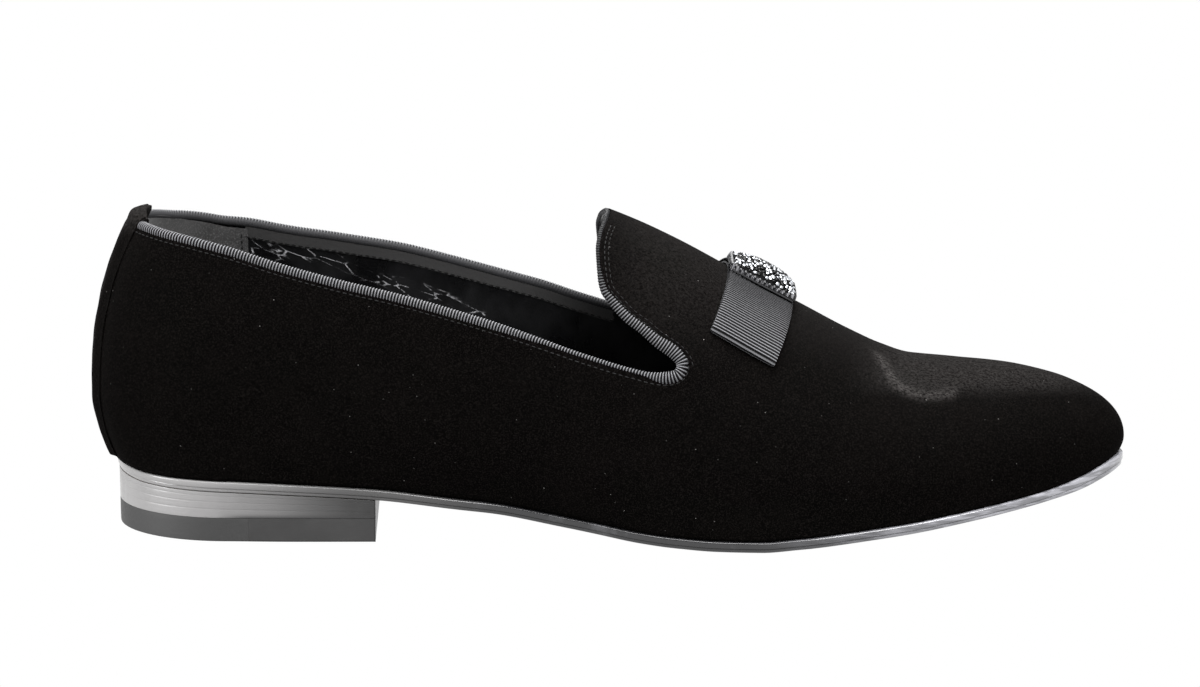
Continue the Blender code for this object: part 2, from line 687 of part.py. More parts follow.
def build_bow(vamp, ribbon, knot, crystal):
    """Flat ribbon bow with a hollow loop on each side, held by a knot with a crystal dome."""
    low = GAP + RIBBON / 2
    high = low + RIBBON + LOOP_GAP
    turn = (high - low) / 2
    runs = spread(-BOW_REACH + turn, BOW_REACH - turn, 17)
    path = [(run, low, 0.0, -1.0) for run in runs]
    path += [(runs[-1] + turn * math.sin(a), low + turn - turn * math.cos(a), math.sin(a), -math.cos(a))
             for a in map(math.radians, (36, 72, 108, 144))]
    path += [(run, high, 0.0, 1.0) for run in runs[::-1]]
    path += [(runs[0] - turn * math.sin(a), low + turn + turn * math.cos(a), -math.sin(a), math.cos(a))
             for a in map(math.radians, (36, 72, 108, 144))]
    places = spread(-BOW_WIDTH / 2, BOW_WIDTH / 2, 4)
    rings = []
    for run, height, out_run, out_height in path:
        faces = []
        for half in (RIBBON / 2, -RIBBON / 2):
            faces.append([vamp.over(place, run * (1 + 2 * BOW_SKEW / BOW_REACH * place / BOW_WIDTH)
                                    + half * out_run, height + half * out_height)
                          for place in places])
        rings.append(faces[0] + faces[1][::-1])
    loft("bow_ribbon", rings, ribbon, closed=True)

    seat = high + RIBBON / 2 + GAP
    across = spread(-1, 1, 9)
    rings = []
    for place in spread(-KNOT_LENGTH / 2, KNOT_LENGTH / 2, 7):
        bottom = [vamp.over(place, q * KNOT_REACH, seat) for q in across]
        crest = vamp.over(place, 0.0, KNOT_HEIGHT)
        top = [crest + Vector((0, q * KNOT_REACH, 0)) for q in across[::-1]]
        rings.append(bottom + top)
    loft("bow_knot", rings, knot)

    rings = []
    half_length = KNOT_LENGTH / 2 - DOME_INSET
    half_reach = KNOT_REACH - DOME_INSET
    for share in spread(-1, 1, 9):
        crest = vamp.over(share * half_length, 0.0, KNOT_HEIGHT + GAP)
        bottom = [crest + Vector((0, q * half_reach, 0)) for q in across]
        top = [crest + Vector((0, q * half_reach, 0))
               + (DOME_EDGE + (DOME_HEIGHT - DOME_EDGE)
                  * math.sqrt((1 - q * q) * (1 - share * share))) * vamp.up
               for q in across[::-1]]
        rings.append(bottom + top)
    loft("bow_crystal_dome", rings, crystal)


def clear_scene():
    for thing in list(bpy.data.objects):
        bpy.data.objects.remove(thing, do_unlink=True)


def main():
    clear_scene()
    velvet = material("black_velvet", (0.008, 0.006, 0.005), 0.9)
    grosgrain = material("black_grosgrain", (0.020, 0.019, 0.018), 0.55)
    sole_leather = material("sole_leather", (0.030, 0.028, 0.027), 0.3)
    heel_leather = material("heel_leather", (0.075, 0.073, 0.072), 0.38)
    heel_rubber = material("heel_rubber", (0.045, 0.044, 0.043), 0.6)
    insole_leather = material("insole_leather", (0.020, 0.018, 0.017), 0.45)
    crystal = material("crystal", (0.30, 0.31, 0.33), 0.08, 0.3)
    build_outsole(sole_leather)
    build_heel(heel_leather, heel_rubber)
    build_insole(insole_leather)
    build_upper(velvet)
    build_back_strip(velvet)
    build_binding(grosgrain)
    build_bow(Vamp(), grosgrain, grosgrain, crystal)


main()
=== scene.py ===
"""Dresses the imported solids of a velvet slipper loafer: pile, grosgrain, bow, crystals, leather sole.

Metres, in the frame of the solids: +X to the toe, +Y to the inner side of the foot, +Z up.
"""
import json
import math

import bmesh
import bpy
import numpy as np
from bpy.props import FloatProperty, FloatVectorProperty, IntProperty, PointerProperty
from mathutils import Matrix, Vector, noise

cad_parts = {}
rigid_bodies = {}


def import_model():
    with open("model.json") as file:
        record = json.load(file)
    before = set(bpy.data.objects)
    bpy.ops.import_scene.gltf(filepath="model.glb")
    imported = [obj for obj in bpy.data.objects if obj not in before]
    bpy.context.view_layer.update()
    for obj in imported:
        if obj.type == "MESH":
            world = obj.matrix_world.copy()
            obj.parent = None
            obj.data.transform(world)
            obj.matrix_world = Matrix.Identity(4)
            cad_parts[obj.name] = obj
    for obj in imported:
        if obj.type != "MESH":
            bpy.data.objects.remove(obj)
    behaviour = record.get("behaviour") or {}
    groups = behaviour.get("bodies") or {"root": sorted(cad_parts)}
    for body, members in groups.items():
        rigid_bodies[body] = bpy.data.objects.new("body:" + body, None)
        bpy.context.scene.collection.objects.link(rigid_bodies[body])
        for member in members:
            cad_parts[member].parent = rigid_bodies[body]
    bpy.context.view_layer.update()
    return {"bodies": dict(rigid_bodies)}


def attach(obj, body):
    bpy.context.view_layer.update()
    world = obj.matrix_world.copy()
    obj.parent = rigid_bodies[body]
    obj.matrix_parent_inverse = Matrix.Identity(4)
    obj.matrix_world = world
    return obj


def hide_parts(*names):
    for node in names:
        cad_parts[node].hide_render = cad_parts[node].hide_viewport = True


bl_info = {
    "name": "Velvet slipper loafer",
    "version": (1, 0, 0),
    "blender": (4, 5, 0),
    "location": "View3D > Sidebar > Slipper",
    "description": "Velvet upper, grosgrain edge, ribbon bow, crystal knot and leather sole",
    "category": "Object",
}

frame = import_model()
BODY = next(iter(frame["bodies"]))
MM = 0.001

LATERAL, MEDIAL = -1, 1
TOE_DRIFT = 0.0030         # toe centre line towards the inner side
SOLE_BACK = 0.0333         # origin to the back edge of the outsole
SOLE_TIP = 0.2622          # origin to the tip of the outsole
TOE_THICKENING = 0.0010    # extra leather under the toe
HEEL_TAPER = 0.0003        # how far the heel draws in towards the floor
HEEL_STEP = 0.4 * MM       # how far the heel stands in from the sole's edge
SEAT_BACK = 0.0341         # origin to the upper's lower edge at the back
LASTING_MARGIN = 0.0080    # velvet turned in under the last
GAP = 0.0003               # between pieces that touch
RIDGE_START = 0.340        # share of the length behind the end of the tongue
TOE_START = 0.560          # share of the length where the outline closes to the toe
SPINE_SHARE = 0.78         # share of the toe's length where the ridge ends
HEEL_POWER = 2.05          # roundness of the heel's outline
TOE_POWERS = (1.60, 1.90)  # and of the toe's, outer and inner side

RIB_STEPS = 6              # rings of the rolled edge, or points of the ribbon, in one rib
EDGE_AROUND = 12           # points round the rolled edge
RIM_REACH = 0.0018         # how near the edge's line the cloth's rim is moved onto it
STITCH_FILL = 0.68         # share of the pitch that each thread covers
RIBBON_HALF = 0.30 * MM    # half the ribbon's thickness
RIBBON_SLANT = 0.084       # how much longer the loops are at the ribbon's front edge
KNOT_MARGIN = 0.9 * MM     # from the knot's side to the block inside its beads
KNOT_CORNER = 2.2 * MM     # radius of its corners
DOME_RISE = 3.2 * MM       # of the crystals' dome over the block

# The photograph's view: pixels from its top left corner, and metres
FRAME_MIDDLE = (600, 343.5)
ORIGIN_PIXEL = (230.5, 517.3)
PIXELS_PER_METRE = 3410
VIEW_TILT = math.radians(12.0)
VIEW_DISTANCE = 3.0
SEEN_SIDE, SEEN_UP = 0.208, 0.978   # shares of Y and Z in the height that this view shows

# Plan of the sole: x in lengths, half widths in ball widths
SOLE_PLAN = {
    "x": (0.0, 0.066, 0.142, 0.247, 0.330, 0.428, 0.494, 0.560),
    "lateral": (0.332, 0.339, 0.338, 0.334, 0.364, 0.445, 0.481, 0.491),
    "medial": (0.332, 0.330, 0.312, 0.264, 0.284, 0.396, 0.466, 0.503),
}
# Widest line of the upper: x in lengths, half widths in ball widths, height in collar heights
WIDEST = {
    "x": (0.0, 0.066, 0.142, 0.247, 0.330, 0.428, 0.494, 0.560, 0.640, 0.720, 0.800, 0.8652),
    "lateral": (0.341, 0.347, 0.354, 0.364, 0.395, 0.445, 0.472, 0.478, 0.478, 0.478, 0.478, 0.478),
    "medial": (0.341, 0.340, 0.336, 0.339, 0.369, 0.425, 0.469, 0.490, 0.490, 0.490, 0.490, 0.490),
    "height": (0.440, 0.420, 0.383, 0.350, 0.307, 0.241, 0.200, 0.182, 0.182, 0.197, 0.228, 0.263),
}
# Ridge over the foot: x in lengths, height in instep heights, fullness of the shoulders
RIDGE = {
    "x": (0.0, 0.165, 0.280, 0.353, 0.396, 0.434, 0.473, 0.509, 0.550, 0.599, 0.628, 0.657,
          0.695, 0.744, 0.782, 0.820, 0.8652),
    "height": (1.180, 1.140, 1.070, 1.000, 0.945, 0.883, 0.811, 0.742, 0.675, 0.586, 0.540,
               0.509, 0.498, 0.486, 0.466, 0.428, 0.368),
    "rise": (0.57, 0.58, 0.60, 0.60, 0.60, 0.60, 0.60, 0.60, 0.60, 0.60, 0.60, 0.60,
             0.60, 0.58, 0.56, 0.53, 0.50),
    "crown": (0.57, 0.53, 0.54, 0.55, 0.55, 0.55, 0.55, 0.56, 0.57, 0.58, 0.60, 0.60,
              0.60, 0.60, 0.59, 0.57, 0.54),
}
# Underside of the outsole: x in lengths, rise in heel heights behind and toe springs in front
UNDERSIDE = {
    "x": (-0.112, -0.082, -0.020, 0.064, 0.142, 0.220, 0.260, 0.320, 0.356, 0.396, 0.435, 0.471,
          0.514, 0.550, 0.610, 0.666, 0.705, 0.751, 0.791, 0.824, 0.847, 0.864),
    "heel": (1.000, 0.935, 0.902, 0.841, 0.756, 0.580, 0.494, 0.305, 0.195, 0.085, 0.025, 0.0,
             0.0, 0.0, 0.0, 0.0, 0.0, 0.0, 0.0, 0.0, 0.0, 0.0),
    "toe": (0.0, 0.0, 0.0, 0.0, 0.0, 0.0, 0.0, 0.0, 0.0, 0.0, 0.0, 0.0,
            0.0, 0.065, 0.196, 0.314, 0.418, 0.543, 0.660, 0.771, 0.895, 1.0),
}
# Top edge of the collar from the back to the notch, then up the tongue's edge
TOPLINE = {
    "x": (-0.200, -0.150, -0.100, -0.048, -0.005, 0.053, 0.109, 0.164, 0.249, 0.303, 0.343, 0.391,
          0.4220, 0.4305, 0.4330, 0.4295, 0.409, 0.3965, 0.383, 0.367, 0.3585, 0.3545,
          0.3522, 0.3550, 0.3600, 0.3650, 0.3750, 0.3850),
    "height": (1.006, 1.003, 0.999, 0.980, 0.951, 0.893, 0.844, 0.802, 0.724, 0.670, 0.628, 0.584,
               0.5640, 0.5700, 0.5840, 0.6010, 0.648, 0.6810, 0.712, 0.7640, 0.7980, 0.8410,
               0.9240, 0.9700, 1.0000, 1.0200, 1.0700, 1.1400),
}
# How much higher the inner side's top edge stands: x in lengths, share of the inner lift
INNER_TOPLINE = {
    "x": (-0.100, -0.053, -0.015, 0.023, 0.063, 0.103, 0.140, 0.180, 0.295, 0.335, 0.400),
    "lift": (0.0, -0.42, -0.42, 0.0, 0.32, 0.68, 0.88, 1.0, 1.0, 0.85, 0.60),
}


def length(name, default, description):
    return FloatProperty(name=name, default=default, description=description,
                         unit="LENGTH", subtype="DISTANCE", precision=5, min=0.0)


def colour(name, default, description):
    return FloatVectorProperty(name=name, default=default, description=description,
                               subtype="COLOR", size=3, min=0.0, max=1.0)


class SLIPPER_PG_last(bpy.types.PropertyGroup):
    """Sizes of the last and the sole"""
    reach: length("Length", 0.3021, "Bulge of the back to the toe, over the upper")
    back: length("Back reach", 0.0396, "Origin to the bulge of the back")
    ball: length("Ball width", 0.0988, "Outsole at the ball of the foot")
    collar: length("Collar height", 0.0913, "Floor to the collar at the back")
    instep: length("Instep height", 0.0936, "Floor to the end of the tongue")
    heel: length("Heel height", 0.0164, "Floor to the outsole at the back")
    spring: length("Toe spring", 0.0153, "Floor to the outsole at its tip")
    sole: length("Sole thickness", 0.0030, "Leather outsole")
    breast: length("Heel breast", 0.0430, "Origin to the front face of the heel")
    top_piece: length("Top piece", 0.0070, "Lowest lift of the heel")
    rubber: length("Rubber reach", 0.0060, "Origin to the front end of the rubber part")
    ledge: length("Ledge", 0.0012, "Sole edge that shows past the upper")
    wall: length("Wall", 0.0020, "Velvet, interlining and lining together")
    inner_lift: length("Inner lift", 0.0041, "How much higher the inner top edge stands")


class SLIPPER_PG_trim(bpy.types.PropertyGroup):
    """Sizes of the edge, the strip and the bow"""
    edge: length("Edge", 0.0032, "Thickness of the rolled grosgrain edge")
    rib: length("Rib pitch", 0.00090, "One rib of the rolled edge to the next")
    stitch: length("Stitch pitch", 0.0019, "One stitch beside the edge to the next")
    strip: length("Strip half width", 0.0105, "Velvet strip over the back seam")
    strip_inside: length("Strip inside", 0.0090, "How far the tab runs down inside")
    bow_place: length("Bow place", 0.1545, "Origin to the middle of the bow")
    bow_width: length("Ribbon width", 0.0210, "Ribbon along the ridge")
    bow_reach: length("Bow reach", 0.0385, "Ridge to the end of each loop")
    ribbon_rib: length("Ribbon rib", 0.00097, "One rib of the ribbon to the next")
    knot_length: length("Knot length", 0.0216, "Knot along the ridge")
    knot_reach: length("Knot reach", 0.0100, "Ridge to each side of the knot")
    knot_height: length("Knot height", 0.0042, "Ridge to the top of the knot")
    bead: length("Bead pitch", 0.00160, "One bugle bead to the next round the knot")
    crystals: IntProperty(name="Crystals", default=260, min=20, max=600,
                          description="Crystals on top of the knot")


class SLIPPER_PG_colours(bpy.types.PropertyGroup):
    """Colours of the leathers, the cloths and the crystals"""
    velvet: colour("Velvet", (0.0007, 0.0006, 0.00055), "Ground of the pile")
    pile: colour("Pile sheen", (0.30, 0.28, 0.27), "Light caught by the pile's tips")
    grosgrain: colour("Grosgrain", (0.19, 0.19, 0.20), "Light on the ribs of the edge")
    ribbon: colour("Ribbon", (0.19, 0.19, 0.20), "Light on the ribs of the bow")
    thread: colour("Thread", (0.012, 0.012, 0.012), "Stitches beside the edge")
    lining: colour("Lining", (0.004, 0.004, 0.0044), "Glossy leather lining")
    suede: colour("Suede", (0.050, 0.049, 0.049), "Heel grip")
    sole: colour("Sole", (0.012, 0.012, 0.013), "Blackened leather of the sole's edge")
    under: colour("Underside", (0.42, 0.27, 0.15), "Natural leather under the sole")
    heel: colour("Heel", (0.060, 0.059, 0.059), "Stacked leather of the heel")
    rubber: colour("Rubber", (0.030, 0.030, 0.030), "Rubber part of the top piece")
    crystal: colour("Crystal", (0.62, 0.64, 0.67), "Clear stones")
    floor: colour("Floor", (1.0, 1.0, 1.0), "Studio floor")


# Shape of the last
class Smooth:
    """Smooth curve through a table's column that never overshoots; takes arrays."""

    def __init__(self, xs, ys):
        self.xs, self.ys = np.asarray(xs, float), np.asarray(ys, float)
        self.steps = np.diff(self.xs)
        slopes = np.diff(self.ys) / self.steps
        ends = [slopes[0]]
        for h1, h2, d1, d2 in zip(self.steps, self.steps[1:], slopes, slopes[1:]):
            w1, w2 = 2 * h2 + h1, h2 + 2 * h1
            ends.append((w1 + w2) / (w1 / d1 + w2 / d2) if d1 * d2 > 0 else 0.0)
        self.ends = np.array(ends + [slopes[-1]])

    def __call__(self, x):
        i = np.clip(np.searchsorted(self.xs, x, side="right") - 1, 0, len(self.xs) - 2)
        step = self.steps[i]
        t = np.clip((x - self.xs[i]) / step, 0.0, 1.0)
        s = 1 - t
        return ((1 + 2 * t) * s * s * self.ys[i] + t * s * s * step * self.ends[i]
                + t * t * (3 - 2 * t) * self.ys[i + 1] - t * t * s * step * self.ends[i + 1])


def curves(table):
    return {name: Smooth(table["x"], column) for name, column in table.items() if name != "x"}


PLAN, WIDE, CREST = curves(SOLE_PLAN), curves(WIDEST), curves(RIDGE)
UNDER, INNER = curves(UNDERSIDE), curves(INNER_TOPLINE)


def ease(t):
    t = np.clip(t, 0.0, 1.0)
    return t * t * (3 - 2 * t)


def unit(v):
    return v / np.maximum(np.linalg.norm(v, axis=-1, keepdims=True), 1e-12)


class Last:
    """The shoe's surfaces from its sizes. Sides are -1 (outer) or 1 (inner); all take arrays."""

    def __init__(self, sizes, trim):
        self.s, self.trim = sizes, trim
        self.reach, self.back, self.ball = sizes.reach, sizes.back, sizes.ball
        self.toe = TOE_START * sizes.reach
        self.tip = sizes.reach - sizes.back

    def underside(self, x):
        share = x / self.reach
        return UNDER["heel"](share) * self.s.heel + UNDER["toe"](share) * self.s.spring

    def thickening(self, x):
        return TOE_THICKENING * ease((x / self.reach - 0.78) / 0.08)

    def sole_top(self, x):
        return self.underside(x) + self.s.sole + self.thickening(x)

    def spine(self, x):
        return TOE_DRIFT * ease((x / self.reach - 0.33) / 0.22)

    def half_width(self, plan, side, x):
        share = np.clip(x, 0, self.toe) / self.reach
        return np.where(side < 0, plan["lateral"](share), plan["medial"](share)) * self.ball

    def outline(self, plan, back, tip, side, x):
        width = self.half_width(plan, side, x)
        behind = np.clip(-x / back, 0, 1)
        ahead = np.clip((x - self.toe) / (tip - self.toe), 0, 1)
        power = np.where(side < 0, *TOE_POWERS)
        middle = self.spine(x)
        heel_y = side * width * (1 - behind ** HEEL_POWER) ** (1 / HEEL_POWER)
        toe_y = middle + side * (width - side * middle) * (1 - ahead ** power) ** (1 / power)
        return x, np.where(x < 0, heel_y, np.where(x > self.toe, toe_y, side * width))

    def inset(self, side, x, inset):
        """Sole outline drawn in by an inset, at the same share of the heel or toe."""
        middle = self.spine(x) * (x > self.toe)
        px, py = self.outline(PLAN, SOLE_BACK, SOLE_TIP, side, x)
        full = self.half_width(PLAN, side, x)
        full = full - side * self.spine(self.toe) * (x > self.toe)
        width = np.abs(py - middle)
        toe_x = self.toe + (x - self.toe) * (SOLE_TIP - inset - self.toe) / (SOLE_TIP - self.toe)
        px = np.where(x < 0, x * (SOLE_BACK - inset) / SOLE_BACK, np.where(x > self.toe, toe_x, px))
        return px, middle + side * width * (full - inset) / full

    def column(self, side, x):
        """Seat, widest line, two handles and ridge of the sections at x."""
        side, x = np.broadcast_arrays(np.asarray(side, float), np.asarray(x, float))
        share = np.clip(x / self.reach, 0, None)
        wx, wy = self.outline(WIDE, self.back, self.tip, side, x)
        ahead = x > self.toe
        sole_x = self.toe + (x - self.toe) * (SOLE_TIP - self.toe) / (self.tip - self.toe)
        seat_x, seat_y = self.inset(side, np.where(ahead, sole_x, np.maximum(x, 0)), self.s.ledge)
        heel_seat = self.half_width(PLAN, side, 0 * x) - self.s.ledge / 2
        seat_y = np.where(x < 0, wy * heel_seat / (WIDE["lateral"](0.0) * self.ball), seat_y)
        seat_x = np.where(x < 0, x * SEAT_BACK / self.back, seat_x)
        ridge_x = np.where(ahead, self.toe + SPINE_SHARE * (x - self.toe), np.maximum(x, 0))
        ridge_share = ridge_x / self.reach
        ridge_z = CREST["height"](ridge_share) * self.s.instep
        widest_z = WIDE["height"](share) * self.s.collar
        seat = np.stack([seat_x, seat_y, self.sole_top(seat_x) + GAP], -1)
        widest = np.stack([wx, wy, widest_z], -1)
        ridge = np.stack([ridge_x, self.spine(ridge_x), ridge_z], -1)
        inward = (ridge - widest) * (1, 1, 0)
        reach = np.linalg.norm(inward, axis=-1)
        inward = unit(inward)
        slope = CREST["height"](ridge_share + 0.004) - CREST["height"](ridge_share - 0.004)
        slope = np.where(x > 0, slope * self.s.instep / (0.008 * self.reach), 0.0)
        rise = CREST["rise"](share) * (ridge_z - widest_z)
        crown = (CREST["crown"](share) * reach)[..., None]
        low = widest + np.stack([0 * rise, 0 * rise, rise], -1)
        tilt = np.stack([0 * slope, 0 * slope, slope * inward[..., 0]], -1)
        return seat, widest, low, ridge - crown * (inward + tilt), ridge

    def above(self, side, x, t):
        """Points from the widest line (t = 0) to the ridge (t = 1)."""
        _, widest, low, high, ridge = self.column(side, x)
        t = np.asarray(t, float)[..., None]
        s = 1 - t
        return s ** 3 * widest + 3 * s * s * t * low + 3 * s * t * t * high + t ** 3 * ridge

    def below(self, side, x, t):
        """Points from the lower edge (t = 0) to the widest line (t = 1)."""
        seat, widest, *_ = self.column(side, x)
        t = np.asarray(t, float)[..., None]
        point = seat + (widest - seat) * (1 - (1 - t) ** 2)
        point[..., 2] = (seat + t * (widest - seat))[..., 2]
        return point

    def surface(self, side, x, z):
        """Points of a side at places and heights, above or below its widest line."""
        seat, widest, *_ = self.column(side, x)
        share = np.clip((z - seat[..., 2]) / (widest[..., 2] - seat[..., 2]), 0, 1)
        high = self.above(side, x, self.at_height(side, x, z))
        return np.where((z > widest[..., 2])[..., None], high, self.below(side, x, share))

    def normal(self, side, x, t):
        step = 0.001
        along = self.above(side, x + step, t) - self.above(side, x - step, t)
        up = (self.above(side, x, np.minimum(t + 0.01, 1.0))
              - self.above(side, x, np.maximum(t - 0.01, 0.0)))
        return unit(np.cross(up, along) * np.asarray(side, float)[..., None])

    def at_height(self, side, x, z):
        """Curve position where the side above its widest line stands at a height."""
        _, widest, low, high, ridge = self.column(side, x)
        a, b, c, d = widest[..., 2], low[..., 2], high[..., 2], ridge[..., 2]
        bottom, top = np.zeros_like(a), np.ones_like(a)
        for _ in range(26):
            t = (bottom + top) / 2
            s = 1 - t
            under = s ** 3 * a + 3 * s * s * t * b + 3 * s * t * t * c + t ** 3 * d < z
            bottom, top = np.where(under, t, bottom), np.where(under, top, t)
        return t

    def on_side(self, side, x, z):
        """Column place and curve position where the side view shows (x, z)."""
        side = np.broadcast_to(np.asarray(side, float), np.shape(x))
        place = np.array(x, float)
        for _ in range(14):
            t = self.at_height(side, place, z)
            place = place + x - self.above(side, place, t)[..., 0]
        return place, t

    def topline(self, side, offset, count=700):
        """Side view of the collar's edge as an array of (x, z), moved into the upper."""
        xs = np.asarray(TOPLINE["x"]) * self.reach
        zs = np.asarray(TOPLINE["height"]) * self.s.collar
        knots = np.concatenate([[0], np.cumsum(np.hypot(np.diff(xs), np.diff(zs)))])
        shares = np.linspace(0, 1, count)
        line = np.stack([Smooth(knots / knots[-1], xs)(shares),
                         Smooth(knots / knots[-1], zs)(shares)], -1)
        if side == MEDIAL:
            after = np.arange(count) > np.argmax(line[:, 0])
            fade = np.where(after, ease((line[:, 1] / self.s.collar - 0.62) / 0.2), 0.0)
            line[:, 1] += self.s.inner_lift * INNER["lift"](line[:, 0] / self.reach) * (1 - fade)
        tangent = unit(np.gradient(line, axis=0))
        return line + offset * np.stack([tangent[:, 1], -tangent[:, 0]], -1)

    def edge_frame(self, side, offset, depth, low=-0.09, crest=0.9):
        """Points and normals along the edge at an offset into the upper and a depth in its wall."""
        line = self.topline(side, offset)
        line = line[line[:, 0] > low * self.reach]
        x, z = line[:, 0], line[:, 1]
        place, t = self.on_side(side, x, z)
        stop = np.nonzero((x > RIDGE_START * self.reach) & (t > crest))[0]
        if len(stop):
            place, t = place[:stop[0]], t[:stop[0]]
        sides = np.full(len(place), float(side))
        out = self.normal(sides, place, np.minimum(t, 0.995))
        return self.above(sides, place, t) - depth * out, out, place, t

    def stations(self, back, tip, heel, middle, toe, last_angle=90.0):
        """X places that crowd where the outline turns round the heel and the toe."""
        angles = np.radians(np.linspace(last_angle, 0, heel + 1)[:-1])
        ahead = np.radians(np.linspace(0, last_angle, toe + 1))
        return np.concatenate([-back * np.sin(angles), np.linspace(0, self.toe, middle + 1)[:-1],
                               self.toe + (tip - self.toe) * np.sin(ahead)])


def last():
    scene = bpy.context.scene
    return Last(scene.slipper_last, scene.slipper_trim)


def inside(polygon, x, z):
    """Which points lie inside a polygon of the side view."""
    hit = np.zeros(np.shape(x), bool)
    for (x0, z0), (x1, z1) in zip(polygon, np.roll(polygon, -1, 0)):
        if z0 != z1:
            crosses = (z0 > z) != (z1 > z)
            hit ^= crosses & (x < x0 + (z - z0) / (z1 - z0) * (x1 - x0))
    return hit


def near_line(line, x, z):
    """Distance to a line of the side view and the nearest of its points."""
    best, nearest = np.full(np.shape(x), 9.0), np.zeros(np.shape(x) + (2,))
    for (x0, z0), (x1, z1) in zip(line, line[1:]):
        run_x, run_z = x1 - x0, z1 - z0
        run = max(run_x * run_x + run_z * run_z, 1e-16)
        t = np.clip(((x - x0) * run_x + (z - z0) * run_z) / run, 0, 1)
        px, pz = x0 + t * run_x, z0 + t * run_z
        far = np.hypot(x - px, z - pz)
        closer = far < best
        best = np.where(closer, far, best)
        nearest[closer] = np.stack([px, pz], -1)[closer]
    return best, nearest


def resample(points, step):
    """Rows evenly spaced along the line of their first three columns."""
    run = np.concatenate([[0], np.cumsum(np.linalg.norm(np.diff(points[:, :3], axis=0), axis=1))])
    count = max(int(round(run[-1] / step)), 2)
    places = np.linspace(0, run[-1], count + 1)
    return np.stack([np.interp(places, run, points[:, k]) for k in range(points.shape[1])], -1)


# Meshes
def mesh_piece(name, verts, faces, made, slot, replaces=(), sharp=40.0, shade=None, slots=None):
    """A finished mesh that rides on the shoe, from arrays of points and faces."""
    mesh = bpy.data.meshes.new(name)
    faces = faces.tolist() if hasattr(faces, "tolist") else faces
    mesh.from_pydata(np.asarray(verts).tolist(), [], faces)
    mesh.validate()
    mesh.shade_smooth()
    mesh.set_sharp_from_angle(angle=math.radians(sharp))
    for one in made if isinstance(made, (list, tuple)) else (made,):
        mesh.materials.append(one)
    if slots is not None:
        mesh.polygons.foreach_set("material_index", np.asarray(slots, np.int32))
    if shade is not None:
        layer = mesh.attributes.new("tone", "FLOAT", "POINT")
        layer.data.foreach_set("value", np.asarray(shade, np.float32))
    piece = bpy.data.objects.new(name, mesh)
    bpy.context.scene.collection.objects.link(piece)
    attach(piece, BODY)
    if replaces:
        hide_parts(*replaces)
    return piece


def grid_faces(rows, columns, wrap_rows=False, wrap_columns=False, flip=False):
    """Quads of a grid of points in row order."""
    i = np.arange(rows if wrap_rows else rows - 1)
    j = np.arange(columns if wrap_columns else columns - 1)
    i, j = np.meshgrid(i, j, indexing="ij")
    i, j, k, m = i.ravel(), j.ravel(), ((i + 1) % rows).ravel(), ((j + 1) % columns).ravel()
    quads = np.stack([i * columns + j, i * columns + m, k * columns + m, k * columns + j], -1)
    return quads[:, ::-1] if flip else quads


def loft(rings, flip=False):
    """Rings of equal length as points and faces, capped at both ends."""
    rings = np.asarray(rings)
    rows, columns = rings.shape[:2]
    faces = grid_faces(rows, columns, wrap_columns=True, flip=flip).tolist()
    ends = [list(range(columns))[::-1], list(range((rows - 1) * columns, rows * columns))]
    faces += [end[::-1] for end in ends] if flip else ends
    return rings.reshape(-1, 3), faces


def joined(parts):
    """Several meshes' points and faces as one."""
    points, faces, base = [], [], 0
    for more, own in parts:
        points.append(more)
        faces += [[v + base for v in face] for face in own]
        base += len(more)
    return np.concatenate(points), faces


def tube(route, ups, angle, radius):
    """Rings round a route; the radius varies with the row and the angle."""
    tangent = unit(np.gradient(route, axis=0))
    side = unit(np.cross(tangent, ups))
    up = np.cross(side, tangent)
    ring = np.cos(angle)[None, :, None] * side[:, None] + np.sin(angle)[None, :, None] * up[:, None]
    return route[:, None] + radius[..., None] * ring


def many(shape, faces, places, across, along, up, size):
    """Copies of one small shape, set by three directions each, as one mesh."""
    axes = np.stack([across, along, up], 1)
    points = places[:, None] + np.einsum("vk,nkc->nvc", shape, axes * size[:, :, None])
    shift = np.arange(len(places)) * len(shape)
    faces = [[v + base for v in face] for base in shift.tolist() for face in faces]
    return points.reshape(-1, 3), faces


def pill(around=6, rows=4):
    """Small rounded stick along its second axis, one unit long and one thick."""
    rings = []
    for t in np.linspace(-1, 1, rows + 2):
        reach = math.sqrt(max(1 - t ** 4, 0.03)) * 0.5
        rings.append([(reach * math.cos(a), t * 0.5, reach * math.sin(a))
                      for a in np.linspace(0, 2 * math.pi, around, endpoint=False)])
    return loft(rings, flip=True)


# Finishes
class Wire:
    """A node's output that can stand in a Python expression."""

    def __init__(self, finish, socket):
        self.finish, self.socket = finish, socket

    def maths(self, operation, *values):
        return self.finish.node("ShaderNodeMath", {"operation": operation}, dict(enumerate(values)))

    def __add__(self, other):
        return self.maths("ADD", self, other)

    def __sub__(self, other):
        return self.maths("SUBTRACT", self, other)

    def __rsub__(self, other):
        return self.maths("SUBTRACT", other, self)

    def __mul__(self, other):
        return self.maths("MULTIPLY", self, other)

    __radd__, __rmul__ = __add__, __mul__


